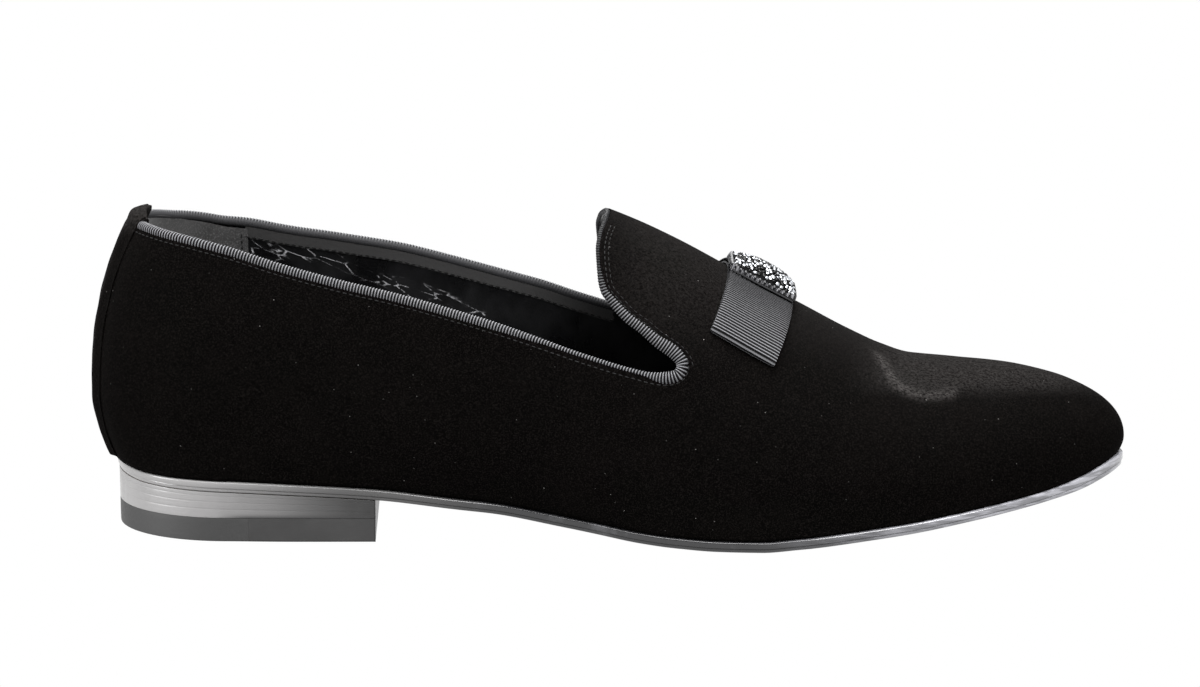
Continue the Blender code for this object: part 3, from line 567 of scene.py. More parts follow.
class Finish:
    """One material: fixed values on its shader, and any node through one method."""

    def __init__(self, name, **fixed):
        self.made = bpy.data.materials.new(name)
        self.made.use_nodes = True
        self.tree = self.made.node_tree
        self.shader = self.tree.nodes["Principled BSDF"]
        self.give(**fixed)

    def give(self, **sockets):
        """Values or wires for the shader's sockets, with the sockets' names in lower case."""
        for key, value in sockets.items():
            self.plug(self.shader.inputs[key.replace("_", " ").title().replace("Ior", "IOR")], value)

    def plug(self, socket, value):
        if isinstance(value, Wire):
            self.tree.links.new(value.socket, socket)
        elif socket.type == "RGBA" and len(value) == 3:
            socket.default_value = (*value, 1.0)
        else:
            socket.default_value = value

    def node(self, kind, settings=(), inputs=(), output=0):
        made = self.tree.nodes.new(kind)
        for key, value in dict(settings).items():
            setattr(made, key, value)
        for key, value in dict(inputs).items():
            self.plug(made.inputs[key], value)
        return Wire(self, made.outputs[output])

    def place(self, stretch=(1, 1, 1), turn=(0, 0, 0)):
        """The shoe's own coordinates, stretched."""
        where = self.node("ShaderNodeTexCoord", output="Object")
        return self.node("ShaderNodeMapping", {}, {"Vector": where, "Scale": stretch, "Rotation": turn})

    def part(self, axis):
        """One of the shoe's own coordinates."""
        where = self.node("ShaderNodeTexCoord", output="Object")
        return self.node("ShaderNodeSeparateXYZ", {}, {0: where}, output=axis)

    def speckle(self, size, detail=2.0, rough=0.5, where=None):
        """Noise whose patches are about this size in metres."""
        return self.node("ShaderNodeTexNoise", {}, {
            "Vector": where or self.place(), "Scale": 1 / size, "Detail": detail, "Roughness": rough})

    def cells(self, size, feature="F1", where=None):
        """Distance to the middles, or to the edges, of scattered cells."""
        return self.node("ShaderNodeTexVoronoi", {"feature": feature}, {
            "Vector": where or self.place(), "Scale": 1 / size}, output="Distance")

    def step(self, value, low, high, bottom=0.0, top=1.0):
        """Soft step of a value from low to high."""
        return self.node("ShaderNodeMapRange", {"interpolation_type": "SMOOTHSTEP"}, {
            "Value": value, "From Min": low, "From Max": high, "To Min": bottom, "To Max": top})

    def mix(self, one, two, share):
        return self.node("ShaderNodeMix", {"data_type": "RGBA"}, {0: share, 6: one, 7: two}, output=2)

    def tone(self):
        """The mesh's light and dark from its attribute: painted light and shade on most pieces, the
        stones' own black and clear.
        """
        return self.node("ShaderNodeAttribute", {"attribute_name": "tone"}, output="Fac")

    def bump(self, height, depth, strength=1.0, under=None):
        inputs = {"Height": height, "Distance": depth, "Strength": strength}
        if under is not None:
            inputs["Normal"] = under
        return self.node("ShaderNodeBump", {}, inputs)


def tint(base, factor):
    return tuple(min(c * factor, 1.0) for c in base)


def plain_finish(name, colours, grain, relief, rough=None, **fixed):
    """One fine grain that sets the colour, the relief and, where given, the roughness."""
    f = Finish(name, **fixed)
    grain = f.speckle(*grain)
    if rough:
        f.give(roughness=f.step(grain, 0.3, 0.7, *rough))
    f.give(base_color=f.mix(*colours, grain), normal=f.bump(grain, *relief))
    return f.made


def velvet_finish(c):
    """Short dense pile: mottled nap, soft sheen, a few specks of lint, and painted sheen where the tone
    is.
    """
    f = Finish("black_velvet", specular_ior_level=0.01, sheen_weight=0.012, sheen_roughness=0.35,
               sheen_tint=c.pile)
    nap = f.speckle(0.016, 3.0, 0.6)
    tufts = f.speckle(0.00042, 2.0, 0.65)
    # painted sheen: the tone lightens the pile's colour where light would catch it
    painted_sheen = f.tone() * f.step(f.speckle(0.0008, 3.0, 0.7), 0.32, 0.70)
    lint = f.step(f.cells(0.0030), 0.055, 0.020) * f.step(f.speckle(0.011, 1.0), 0.46, 0.58)
    base = f.mix(c.velvet, tint(c.velvet, 1.8), f.step(nap, 0.38, 0.72))
    base = f.mix(base, tint(c.velvet, 10.0), f.step(tufts, 0.44, 0.72) * 0.65)
    base = f.mix(base, tint(c.pile, 0.5), painted_sheen)
    f.give(base_color=f.mix(base, (0.30, 0.29, 0.28), lint * 0.6),
           roughness=f.step(nap, 0.3, 0.7, 0.80, 0.95))
    pile = f.bump(f.speckle(0.00035, 1.0, 0.5), 0.00010, 0.55)
    f.give(normal=f.bump(f.speckle(0.0030, 3.0, 0.6), 0.00022, 0.6, pile))
    return f.made


def grosgrain_finish(light, name, rough):
    """Ribbed satin thread; the ribs themselves are in the mesh, and the tone paints highlights on their
    crests and shade in their valleys.
    """
    f = Finish(name, specular_ior_level=0.05)
    thread = f.speckle(0.00022, 2.0, 0.6)
    wear = f.speckle(0.006, 2.0)
    # painted highlight on the rib crests, painted shade in the valleys
    rib = f.tone() * (0.75 + 0.5 * thread)
    f.give(base_color=f.mix(tint(light, 0.01), light, rib),
           roughness=f.step(wear, 0.3, 0.7, rough, rough + 0.16),
           normal=f.bump(thread, 0.00005, 0.5))
    return f.made


def lining_finish(c):
    """Glossy leather with fine grain and soft creases, with painted highlights along fine folds where the
    tone is.
    """
    f = Finish("lining_leather", coat_roughness=0.18)
    grain = f.cells(0.0011, "DISTANCE_TO_EDGE")
    crease = f.speckle(0.012, 3.0, 0.55, f.place((1.0, 1.0, 0.55), (0, 0.7, 0)))
    slant = f.node("ShaderNodeMapping", {}, {"Vector": f.place(turn=(0, -0.45, 0)),
                                             "Scale": (0.25, 1, 1)})
    folds = f.step(f.cells(0.0024, "DISTANCE_TO_EDGE", slant), 0.055, 0.01)
    # painted highlight along the folds, where the tone marks the creases
    line_mark = f.tone() * folds * f.step(f.speckle(0.0022, 3.0, 0.7), 0.42, 0.56)
    base = f.mix(tint(c.lining, 0.6), tint(c.lining, 1.6), f.step(crease, 0.42, 0.68))
    f.give(base_color=f.mix(base, (0.50, 0.50, 0.52), line_mark),
           roughness=f.step(crease, 0.35, 0.65, 0.22, 0.40),
           coat_weight=f.step(crease, 0.3, 0.7, 0.15, 0.5))
    low = f.bump(crease, 0.0011, 0.55)
    f.give(normal=f.bump(f.step(grain, 0.0, 0.10), 0.00006, 0.35, low))
    return f.made


def suede_finish(c):
    f = Finish("heel_grip_suede", sheen_weight=0.25, sheen_roughness=0.5)
    nap = f.speckle(0.010, 3.0, 0.6)
    fine = f.speckle(0.0005, 2.0, 0.6)
    base = f.mix(tint(c.suede, 0.45), tint(c.suede, 0.9), f.step(nap, 0.35, 0.7))
    f.give(base_color=f.mix(base, tint(c.suede, 1.9), f.step(fine, 0.45, 0.75)),
           roughness=f.step(fine, 0.3, 0.7, 0.82, 0.96), normal=f.bump(fine, 0.00012, 0.7))
    return f.made


def band_finish(c):
    return plain_finish("turned_band", (tint(c.suede, 0.5), tint(c.suede, 1.1)), (0.0006, 2.0, 0.6),
                        (0.00006, 0.5), (0.45, 0.62))


def sock_finish(c):
    f = Finish("sock_leather", coat_roughness=0.3)
    grain = f.cells(0.0013, "DISTANCE_TO_EDGE")
    foot = f.speckle(0.03, 3.0, 0.6)
    f.give(base_color=f.mix(c.lining, tint(c.lining, 2.2), f.step(foot, 0.4, 0.7)),
           roughness=f.step(foot, 0.35, 0.7, 0.46, 0.54), coat_weight=0.04,
           normal=f.bump(f.step(grain, 0.0, 0.12), 0.00008, 0.4))
    return f.made


def thread_finish(c):
    return plain_finish("stitch_thread", (tint(c.thread, 0.55), tint(c.thread, 1.7)), (0.0003, 1.0),
                        (0.00004, 0.6), roughness=0.7, specular_ior_level=0.05)


def edge_leather_finish(c):
    """Polished blackened edge of the sole, with faint trimming lines along it, painted highlights along
    the forepart and painted light at the very back.
    """
    f = Finish("sole_edge_leather", coat_roughness=0.10)
    lines = f.speckle(0.00045, 2.0, 0.6, f.place((0.05, 0.05, 1.0)))
    wear = f.speckle(0.009, 4.0, 0.65)
    x = f.part("X")
    painted_shine_streaks = f.step(f.speckle(0.0012, 3.0, 0.7, f.place((0.10, 0.10, 1.0))), 0.35, 0.65)
    base = f.mix(c.sole, tint(c.sole, 4.5), f.step(wear, 0.55, 0.80))
    # painted highlight: streaks of reflected light along the forepart's edge
    base = f.mix(base, tint(c.sole, 24.0), f.step(x, 0.150, 0.225) * f.step(painted_shine_streaks, 0.0, 1.0, 0.45, 1.0))
    base = f.mix(base, tint(c.heel, 0.9), f.step(x, 0.085, 0.045))
    # painted light: lighter at the back, as the heel
    base = f.mix(base, tint(c.heel, 3.6), f.step(x, 0.040, -0.022))
    f.give(base_color=base,
           roughness=f.step(wear, 0.35, 0.75, 0.16, 0.36),
           coat_weight=f.step(x, 0.040, 0.090, 0.05, 0.6), normal=f.bump(lines, 0.00005, 0.5))
    return f.made


def under_leather_finish(c):
    """Natural leather under the sole, with walking scuffs at the ball."""
    f = Finish("sole_under_leather")
    x = f.part("X")
    ball = f.step(x, 0.105, 0.140) * f.step(x, 0.235, 0.200)
    rubbed = f.step(f.speckle(0.004, 5.0, 0.7, f.place((0.35, 1.0, 1.0))), 0.44, 0.70)
    scuff = rubbed * (ball * 0.75 + 0.15)
    fibre = f.speckle(0.0012, 3.0, 0.6)
    tan = f.mix(tint(c.under, 0.85), tint(c.under, 1.12), fibre)
    f.give(base_color=f.mix(tan, tint(c.under, 0.32), scuff),
           roughness=f.step(fibre, 0.3, 0.7, 0.42, 0.62), normal=f.bump(fibre + scuff, 0.00012, 0.5))
    return f.made


def heel_leather_finish(c, breast):
    """Satin stacked leather with painted light, lighter to the back and darker to the front; black on its
    front face and near the floor.
    """
    f = Finish("heel_stack_leather", coat_roughness=0.25)
    lines = f.speckle(0.0005, 3.0, 0.6, f.place((0.04, 0.04, 1.0)))
    cloud = f.speckle(0.010, 4.0, 0.6)
    x, z = f.part("X"), f.part("Z")
    # painted light: lighter to the back, darker to the front
    base = f.mix(tint(c.heel, 0.20), tint(c.heel, 3.7), f.step(x, 0.044, -0.022))
    base = f.mix(base, tint(c.heel, 0.28), f.step(z, 0.0086, 0.0066) * f.step(x, -0.004, 0.006))
    base = f.mix(base, tint(c.heel, 0.8), f.step(cloud, 0.35, 0.75) * 0.2)
    front = f.step(x, breast - 0.6 * MM, breast - 0.1 * MM)
    # darker along the floor
    line_mark = f.step(z, 0.0005, 0.0001) * f.step(x, 0.0, 0.010)
    f.give(base_color=f.mix(f.mix(base, tint(c.heel, 0.05), line_mark), tint(c.heel, 0.05), front),
           roughness=f.step(cloud, 0.3, 0.7, 0.30, 0.42), coat_weight=0.10,
           normal=f.bump(lines, 0.00006, 0.6))
    return f.made


def rubber_finish(c):
    return plain_finish("heel_rubber", (tint(c.rubber, 0.45), tint(c.rubber, 0.9)), (0.0008, 3.0, 0.6),
                        (0.00006, 0.6), (0.50, 0.66))


def stone_finish(c):
    """Cut stones, from black to clear by each stone's own tone."""
    f = Finish("crystal", coat_roughness=0.02, specular_ior_level=0.12)
    tone = f.tone()
    f.give(base_color=f.mix((0.002, 0.002, 0.002), c.crystal, tone), metallic=tone * 0.85,
           roughness=f.step(tone, 0.0, 1.0, 0.10, 0.04), coat_weight=f.step(tone, 0.0, 1.0, 0.05, 0.9))
    return f.made


def bead_finish(c):
    f = Finish("bugle_bead", coat_weight=0.15, coat_roughness=0.05, specular_ior_level=0.3)
    # the tone paints highlights on the beads' sides and feet
    tone = f.tone()
    f.give(base_color=f.mix((0.002, 0.002, 0.003), (0.17, 0.17, 0.18), f.step(tone, 0.3, 1.0)),
           roughness=f.step(tone, 0.0, 1.0, 0.14, 0.30))
    return f.made


def backing_finish():
    """Black felt under the stones."""
    return plain_finish("knot_backing", ((0.001, 0.001, 0.001), (0.005, 0.005, 0.005)), (0.0006, 2.0),
                        (0.0001, 0.5), roughness=0.6, specular_ior_level=0.03)


def floor_finish(c):
    """White that glows, so that no shadow shows on it."""
    f = Finish("studio_floor", roughness=1.0, specular_ior_level=0.0, emission_strength=1.0)
    f.give(base_color=(0.0, 0.0, 0.0), emission_color=c.floor)
    return f.made


# Upper, lining and edge
def seen(points):
    """Places as the photograph's view shows them: along the shoe, and up."""
    return points[..., 0], SEEN_SIDE * points[..., 1] + SEEN_UP * points[..., 2]


# Creases and dents of the velvet, as (along, up) seen from the outer side in millimetres
CREASES = (
    {"line": ((187.5, 53.5), (189.0, 50.5), (190.5, 47.0), (191.9, 43.8), (193.4, 41.1), (195.0, 38.9),
              (197.5, 37.3), (200.4, 36.2), (203.9, 35.7), (207.2, 35.9), (211.0, 36.4)),
     "depth": 0.38, "width": 1.7},
    {"line": ((192.0, 51.5), (193.5, 47.5), (195.5, 43.5), (198.5, 40.5), (203.0, 39.5), (209.0, 40.0)),
     "depth": -0.50, "width": 2.6},
    {"line": ((213.0, 38.5), (218.0, 36.8), (223.0, 37.5)), "depth": -0.20, "width": 3.0},
)
# Creases of the lining on the inner side, seen the same way
LINING_CREASES = (
    ((17.2, 82.4), (21.8, 78.8), (27.9, 75.5), (34.0, 73.4), (40.2, 70.6), (46.3, 68.6),
     (50.4, 67.0), (52.4, 64.5)),
    ((20.5, 82.8), (25.3, 78.2), (31.0, 75.6)), ((6.4, 80.8), (12.6, 78.8), (21.8, 76.2)),
    ((43.0, 70.2), (49.4, 68.9), (52.4, 65.6)), ((56.0, 67.5), (60.1, 64.5)),
    ((61.1, 65.8), (66.7, 62.4), (73.9, 58.9)), ((5.0, 78.5), (9.5, 77.0), (14.0, 76.6)),
)


def crease_depth(points, side):
    """How far the listed creases press or raise the outer side."""
    along, up = seen(points)
    depth = np.zeros(len(points))
    for crease in CREASES:
        far, _ = near_line(np.array(crease["line"]) * MM, along, up)
        depth += crease["depth"] * MM * np.exp(-(far / (crease["width"] * MM)) ** 2)
    return np.where(side < 0, depth * ease((np.abs(points[:, 1]) - 0.001) / 0.006), 0.0)


def painted_nap_sheen(points, side):
    """Painted sheen of the pile: a painted highlight round the dent and over the toe's top, and a faint
    one along the tongue's ridge.
    """
    along, up = seen(points)
    far, _ = near_line(np.array(CREASES[0]["line"]) * MM, along, up)
    # painted highlight along the first crease's arc
    arc = np.exp(-(far / (1.5 * MM)) ** 2)
    top = ease((up - 0.0345) / 0.006) * ease((along - 0.178) / 0.022) * ease((0.266 - along) / 0.030)
    near = ease((np.abs(points[:, 1]) - 0.001) / 0.008)
    shine = np.where(side < 0, 0.15 * arc * near, 0.0) + 0.075 * top
    # painted sheen along the ridge of the tongue
    ridge = ease((up - 0.040) / 0.03) * ease((points[:, 0] - 0.105) / 0.02) * ease((0.19 - along) / 0.01)
    return shine + 0.03 * ridge


def cloth_waves(points, size, height):
    """Slow unevenness of cloth over a last."""
    return np.array([noise.noise(Vector(p) / size) for p in points.tolist()]) * height


def shell(shoe, name, made, slot, steps, rows, low, press, shade, depth=0.0, replaces=(), flip=False):
    """Grid of the upper at a depth in its wall, open where the collar's edge lies."""
    x = shoe.stations(shoe.back, shoe.tip, *steps)
    count = len(x)
    x = np.concatenate([x, x[-2:0:-1]])
    side = np.where(np.arange(len(x)) < count, -1.0, 1.0)
    seat, widest, _, _, ridge = shoe.column(side, x)
    grid = np.concatenate([shoe.below(side[:, None], x[:, None], np.linspace(0, 1, low + 1)[None, :-1]),
                           shoe.above(side[:, None], x[:, None], np.linspace(0, 1, rows)[None])], 1)
    looped = np.concatenate([grid[-1:], grid, grid[:1]])
    along = looped[2:] - looped[:-2]
    out = unit(np.cross(along, np.gradient(grid, axis=1)))
    mirror = np.arange(len(x))
    mirror[1:] = mirror[1:][::-1]
    out[:, -1] = unit(out[:, -1] + out[mirror, -1])
    grid = grid - depth * out
    if depth == 0:
        inward = unit((ridge - widest) * (1, 1, 0))
        turned = seat + LASTING_MARGIN * inward
        turned[:, 2] = shoe.sole_top(turned[:, 0]) + GAP
        tucked = seat + 0.0008 * inward
        grid = np.concatenate([turned[:, None], tucked[:, None], grid], 1)
        out = np.concatenate([out[:, :1] * 0 + (0, 0, -1), out[:, :1] * 0 + (0, 0, -1), out], 1)
    columns, high = grid.shape[:2]
    sides = np.repeat(side, high)
    points, out = grid.reshape(-1, 3), out.reshape(-1, 3)
    faces = grid_faces(columns, high, wrap_rows=True, flip=flip)
    middle = points[faces].mean(1)
    face_side = side[faces[:, 0] // high]
    face_side[(faces[:, 0] // high) == count - 1] = 1.0
    cut = np.zeros(len(faces), bool)
    lines = {one: shoe.topline(one, shoe.trim.edge * 0.55) for one in (LATERAL, MEDIAL)}
    top = 1.6 * shoe.s.instep
    for one, line in lines.items():
        polygon = np.concatenate([line, [(line[-1, 0], top), (line[0, 0], top)]])
        on = face_side == one
        cut[on] = inside(polygon, middle[on, 0], middle[on, 2])
    kept = faces[~cut]
    rim = np.intersect1d(np.unique(faces[cut]), np.unique(kept))
    for one, line in lines.items():
        mine = rim[sides[rim] == one]
        far, target = near_line(line, points[mine, 0], points[mine, 2])
        near = far < RIM_REACH
        mine, shift = mine[near], target[near] - points[mine[near]][:, ::2]
        n = out[mine]
        move = np.stack([shift[:, 0], 0 * far[near], shift[:, 1]], -1)
        steep = np.abs(n[:, 1]) > 0.3
        slide = -(n[:, 0] * move[:, 0] + n[:, 2] * move[:, 2]) / np.where(steep, n[:, 1], 1.0)
        flat = move - n * (move * n).sum(1, keepdims=True)
        move[:, 1] = np.where(steep, slide, 0.0)
        points[mine] += np.where(steep[:, None], move, flat)
    points = points + out * press(points, sides)[:, None]
    used = np.unique(kept)
    index = np.full(len(points), -1)
    index[used] = np.arange(len(used))
    piece = mesh_piece(name, points[used], index[kept], made, slot, replaces, sharp=180.0,
                       shade=shade(points[used], sides[used]))
    weld(piece)
    return piece


def weld(piece):
    """Joins the points that lie on each other."""
    shape = bmesh.new()
    shape.from_mesh(piece.data)
    bmesh.ops.remove_doubles(shape, verts=shape.verts, dist=2e-6)
    shape.to_mesh(piece.data)
    shape.free()


def edge_route(shoe):
    """Middle of the rolled edge and its outward direction: outer side, tongue, inner side."""
    edge, depth = shoe.trim.edge, shoe.s.wall / 2
    halves = []
    for side in (LATERAL, MEDIAL):
        line, top = shoe.topline(side, edge / 2), shoe.topline(side, 0.0)
        keep = line[:, 0] > -0.12 * shoe.reach
        line, into = line[keep], ((line - top) * 2 / edge)[keep]
        place, t = shoe.on_side(side, line[:, 0], line[:, 1])
        sides = np.full(len(line), float(side))
        move = -depth * shoe.normal(sides, place, np.minimum(t, 0.995))
        drift = (move[:, 0] * into[:, 0] + move[:, 2] * into[:, 1])[:, None] * into
        place, t = shoe.on_side(side, line[:, 0] - drift[:, 0], line[:, 1] - drift[:, 1])
        stop = np.nonzero((line[:, 0] > RIDGE_START * shoe.reach) & (t > 0.90))[0][0]
        crest = shoe.above(np.full(len(line), -1.0), line[:, 0], np.ones(len(line)))[:, 2]
        over = (line[:, 0] > RIDGE_START * shoe.reach) & (line[:, 1] > 0.8 * shoe.s.collar)
        crest_x = line[np.nonzero(over & (line[:, 1] > crest - depth))[0][0], 0]
        shares = np.linspace(0.05, 1, 24)
        closing = place[stop - 1] + (crest_x - place[stop - 1]) * ease(shares)
        place = np.concatenate([place[:stop], closing])
        t = np.concatenate([t[:stop], t[stop - 1] + (1 - t[stop - 1]) * shares])
        sides = np.full(len(place), float(side))
        out = shoe.normal(sides, place, np.minimum(t, 0.995))
        middle = shoe.above(sides, place, t) - depth * out
        start = np.nonzero(np.abs(middle[:, 1]) > shoe.trim.strip - 1.5 * MM)[0][0]
        halves.append((middle[start:], out[start:]))
    return (np.concatenate([halves[0][0], halves[1][0][-2::-1]]),
            np.concatenate([halves[0][1], halves[1][1][-2::-1]]))


def make_edge(shoe, made):
    """Rolled grosgrain edge, its ribs plain outside and on top and faint inside; its tone paints the
    crests light, the valleys and the inner side in shade.
    """
    route = resample(np.concatenate(edge_route(shoe), 1), shoe.trim.rib / RIB_STEPS)
    middle, out = route[:, :3], unit(route[:, 3:])
    run = np.arange(len(route)) / RIB_STEPS
    angle = np.linspace(0, 2 * np.pi, EDGE_AROUND, endpoint=False)
    turn = 2 * np.pi * run[:, None] + 1.5 * np.sin(angle)[None]
    hidden = ease(0.1 - 1.4 * np.sin(angle))[None]
    # Thinner over the tongue and along the low outer side, thicker in the notch
    tongue = ease((middle[:, 2] - 0.066) / 0.016) * (middle[:, 0] > 0.1)
    low = (middle[:, 1] < 0) & (middle[:, 2] < 0.053 + 0.25 * (0.130 - middle[:, 0]))
    thin = 0.95 - 0.40 * tongue + 0.30 * np.exp(-((middle[:, 0] - 0.129) / 0.005) ** 2)
    thin = thin - (0.40 * low * ease((middle[:, 0] - 0.072) / 0.030)
                   * ease((0.1275 - middle[:, 0]) / 0.008))
    radius = shoe.trim.edge / 2 * thin[:, None] * (0.955 + 0.085 * np.cos(turn) * (1 - 0.8 * hidden))
    points, faces = loft(tube(middle, out, angle, radius))
    # painted light: crests lit and valleys in shade, fading over the tongue; the inner side painted in
    # flat shade
    tone = np.clip(np.cos(turn), 0, 1) ** 2.2 * (1 - 0.85 * tongue[:, None])
    tone = tone * (1 - hidden) + 0.14 * hidden
    return mesh_piece("grosgrain_edge", points, faces, made, "black_grosgrain", ("collar_binding",), 60.0,
                      tone.ravel())


def stitch_row(name, lines, made, slot, size, pitch):
    """Short threads end to end along lines of points and outward directions."""
    shape, faces = pill()
    rows = []
    for points, out in lines:
        line = resample(np.concatenate([points, out], 1), pitch)
        spots, up = line[:, :3], unit(line[:, 3:])
        along = unit(np.gradient(spots, axis=0))
        rows.append((spots, unit(np.cross(along, up)), along, up))
    places, across, along, up = (np.concatenate(column) for column in zip(*rows))
    sizes = np.tile((size * 0.9, pitch * STITCH_FILL, size), (len(places), 1))
    points, faces = many(shape, faces, places, across, along, up, sizes)
    return mesh_piece(name, points, faces, made, slot, (), 80.0)


def edge_line(shoe, side, offset):
    """Points on the velvet at an offset from the edge, clear of the strip, and outward directions."""
    points, out, *_ = shoe.edge_frame(side, offset, 0.0, crest=0.93)
    keep = np.abs(points[:, 1]) > shoe.trim.strip + 0.4 * MM
    return points[keep], out[keep]


class SLIPPER_OT_velvet(bpy.types.Operator):
    """Velvet upper over the last, turned in under the sole"""
    bl_idname = "slipper.velvet"
    bl_label = "Velvet upper"

    def execute(self, context):
        shoe = last()

        def press(points, sides):
            return crease_depth(points, sides) + cloth_waves(points, 0.022, 0.00012)

        shell(shoe, "velvet_upper", velvet_finish(context.scene.slipper_colours), "black_velvet",
              (60, 150, 92), 104, 22, press, painted_nap_sheen, replaces=("upper",))
        return {"FINISHED"}


class SLIPPER_OT_lining(bpy.types.Operator):
    """Leather lining, suede heel grip and the band turned in under the edge"""
    bl_idname = "slipper.lining"
    bl_label = "Lining"

    def execute(self, context):
        shoe, c = last(), context.scene.slipper_colours
        self.quarters(shoe, c)
        self.grip(shoe, c)
        self.band(shoe, c)
        return {"FINISHED"}

    def quarters(self, shoe, c):
        """Lining of both sides, with its listed creases on the inner one."""
        # the crease lines press the inner lining in and, as its tone, paint highlights along them
        def creased(points, sides):
            along, up = seen(points)
            total = np.zeros(len(points))
            for line in LINING_CREASES:
                far, _ = near_line(np.array(line) * MM, along, up)
                total = np.maximum(total, np.exp(-(far / (0.75 * MM)) ** 2))
            return total * (sides > 0)

        def press(points, sides):
            x, z = points[:, 0], points[:, 2]
            waves = np.sin((x * 0.8 - z * 1.1) / 0.0085 + 2.2 * np.sin(x / 0.023))
            reach = ease((x - 0.008) / 0.02) * ease((0.125 - x) / 0.03) * ease((z - 0.03) / 0.02)
            return (0.00015 * waves * reach - 0.00025 * creased(points, sides)
                    + cloth_waves(points, 0.018, 0.00012))

        shell(shoe, "quarter_lining", lining_finish(c), "insole_leather", (36, 150, 60), 110, 14,
              press, creased, depth=shoe.s.wall - 0.1 * MM, flip=True)

    def grip(self, shoe, c):
        """Suede piece inside the back, with a row of stitches along each front edge."""
        suede, foot = suede_finish(c), 0.030
        x = shoe.stations(shoe.back, shoe.tip, 30, 2, 2)
        x = np.concatenate([x[x < 0], np.linspace(0, 0.0045, 6)])
        x = np.concatenate([x[::-1], x[1:]])
        side = np.where(np.arange(len(x)) < len(x) // 2 + 1, -1.0, 1.0)
        tops = np.where(side < 0, *(np.interp(x, *self.line(shoe, one, shoe.trim.edge * 0.8))
                                    for one in (LATERAL, MEDIAL)))
        grid = np.array([shoe.surface(side, x, foot + (tops - foot) * share)
                         for share in np.linspace(0, 1, 60)])
        out = unit(np.cross(np.gradient(grid, axis=1), np.gradient(grid, axis=0)))
        out *= np.sign((out * (grid * (1, 1, 0))).sum(-1))[..., None]
        grid = grid - (shoe.s.wall + 0.35 * MM) * out
        mesh_piece("heel_grip", grid.reshape(-1, 3), grid_faces(*grid.shape[:2]), suede,
                   "insole_leather", (), 180.0)
        front = [(grid[3:-3, k], -out[3:-3, k]) for k in (2, -3)]
        stitch_row("heel_grip_stitches", [(p + 0.05 * MM * n, n) for p, n in front],
                   thread_finish(c), "insole_leather", 0.42 * MM, 1.9 * MM)

    def band(self, shoe, c):
        """Band turned in under the edge, stitched along, up to the tongue's notches."""
        edge, wall = shoe.trim.edge, shoe.s.wall
        parts, lines = [], []
        for one in (LATERAL, MEDIAL):
            strips = []
            for offset in np.linspace(edge * 0.6, edge + 2.4 * MM, 7):
                inner = shoe.edge_frame(one, offset, wall + 0.28 * MM, low=0.012)[0]
                inner = inner[inner[:, 0] < 0.113]
                strips.append(resample(inner[:np.argmax(inner[:, 0]) + 1], 1.0 * MM))
            fewest = min(len(strip) for strip in strips)
            strips = np.array([strip[:fewest] for strip in strips])
            faces = grid_faces(*strips.shape[:2], flip=one == MEDIAL)
            parts.append((strips.reshape(-1, 3), faces.tolist()))
            spots, out, *_ = shoe.edge_frame(one, edge + 1.9 * MM, wall + 0.4 * MM, low=0.014)
            stop = np.argmax(spots[:, 0] > 0.112)
            lines.append((spots[:stop], -out[:stop]))
        mesh_piece("turned_band", *joined(parts), band_finish(c), "black_grosgrain", (), 180.0)
        stitch_row("band_stitches", lines, thread_finish(c), "black_grosgrain", 0.38 * MM, 2.0 * MM)

    def line(self, shoe, side, offset):
        """The collar's edge up to its front end, by place, as places and heights."""
        line = shoe.topline(side, offset)
        line = line[:np.argmax(line[:, 0])]
        order = np.argsort(line[:, 0])
        return line[order, 0], line[order, 1]


class SLIPPER_OT_edge(bpy.types.Operator):
    """Rolled grosgrain edge with the stitches beside it"""
    bl_idname = "slipper.edge"
    bl_label = "Edge"

    def execute(self, context):
        shoe, c = last(), context.scene.slipper_colours
        make_edge(shoe, grosgrain_finish(c.grosgrain, "black_grosgrain", 0.40))
        edge = shoe.trim.edge
        lines = [edge_line(shoe, side, edge + 0.1 * MM) for side in (LATERAL, MEDIAL)]
        stitch_row("edge_stitches", lines, thread_finish(c), "black_grosgrain", 0.40 * MM,
                   shoe.trim.stitch)
        second = []
        for side in (LATERAL, MEDIAL):
            points, out = edge_line(shoe, side, edge + 1.2 * MM)
            notch = np.argmax(points[:, 0])
            second.append((points[notch:], out[notch:]))
        stitch_row("tongue_stitches", second, thread_finish(c), "black_grosgrain", 0.34 * MM,
                   shoe.trim.stitch)
        return {"FINISHED"}


def back_places(shoe, share, z):
    """Points of the upper's back at shares of the strip's half width, with outward directions."""
    def at(share, z):
        side = np.where(share < 0, -1.0, 1.0)
        target = np.abs(share) * shoe.trim.strip
        near, far = np.full(share.shape, -shoe.back), np.full(share.shape, -0.3 * shoe.back)
        for _ in range(26):
            place = (near + far) / 2
            point = shoe.surface(side, place, z)
            closer = np.abs(point[..., 1]) < target
            near, far = np.where(closer, place, near), np.where(closer, far, place)
        return point
    share, z = np.broadcast_arrays(np.asarray(share, float), np.asarray(z, float))
    point = at(share, z)
    up = at(share, z + 0.0008) - at(share, z - 0.0008)
    inward = unit(-point * (1, 1, 0))
    across = np.cross(inward, (0.0, 0.0, 1.0))
    return point, unit(np.cross(across, up))


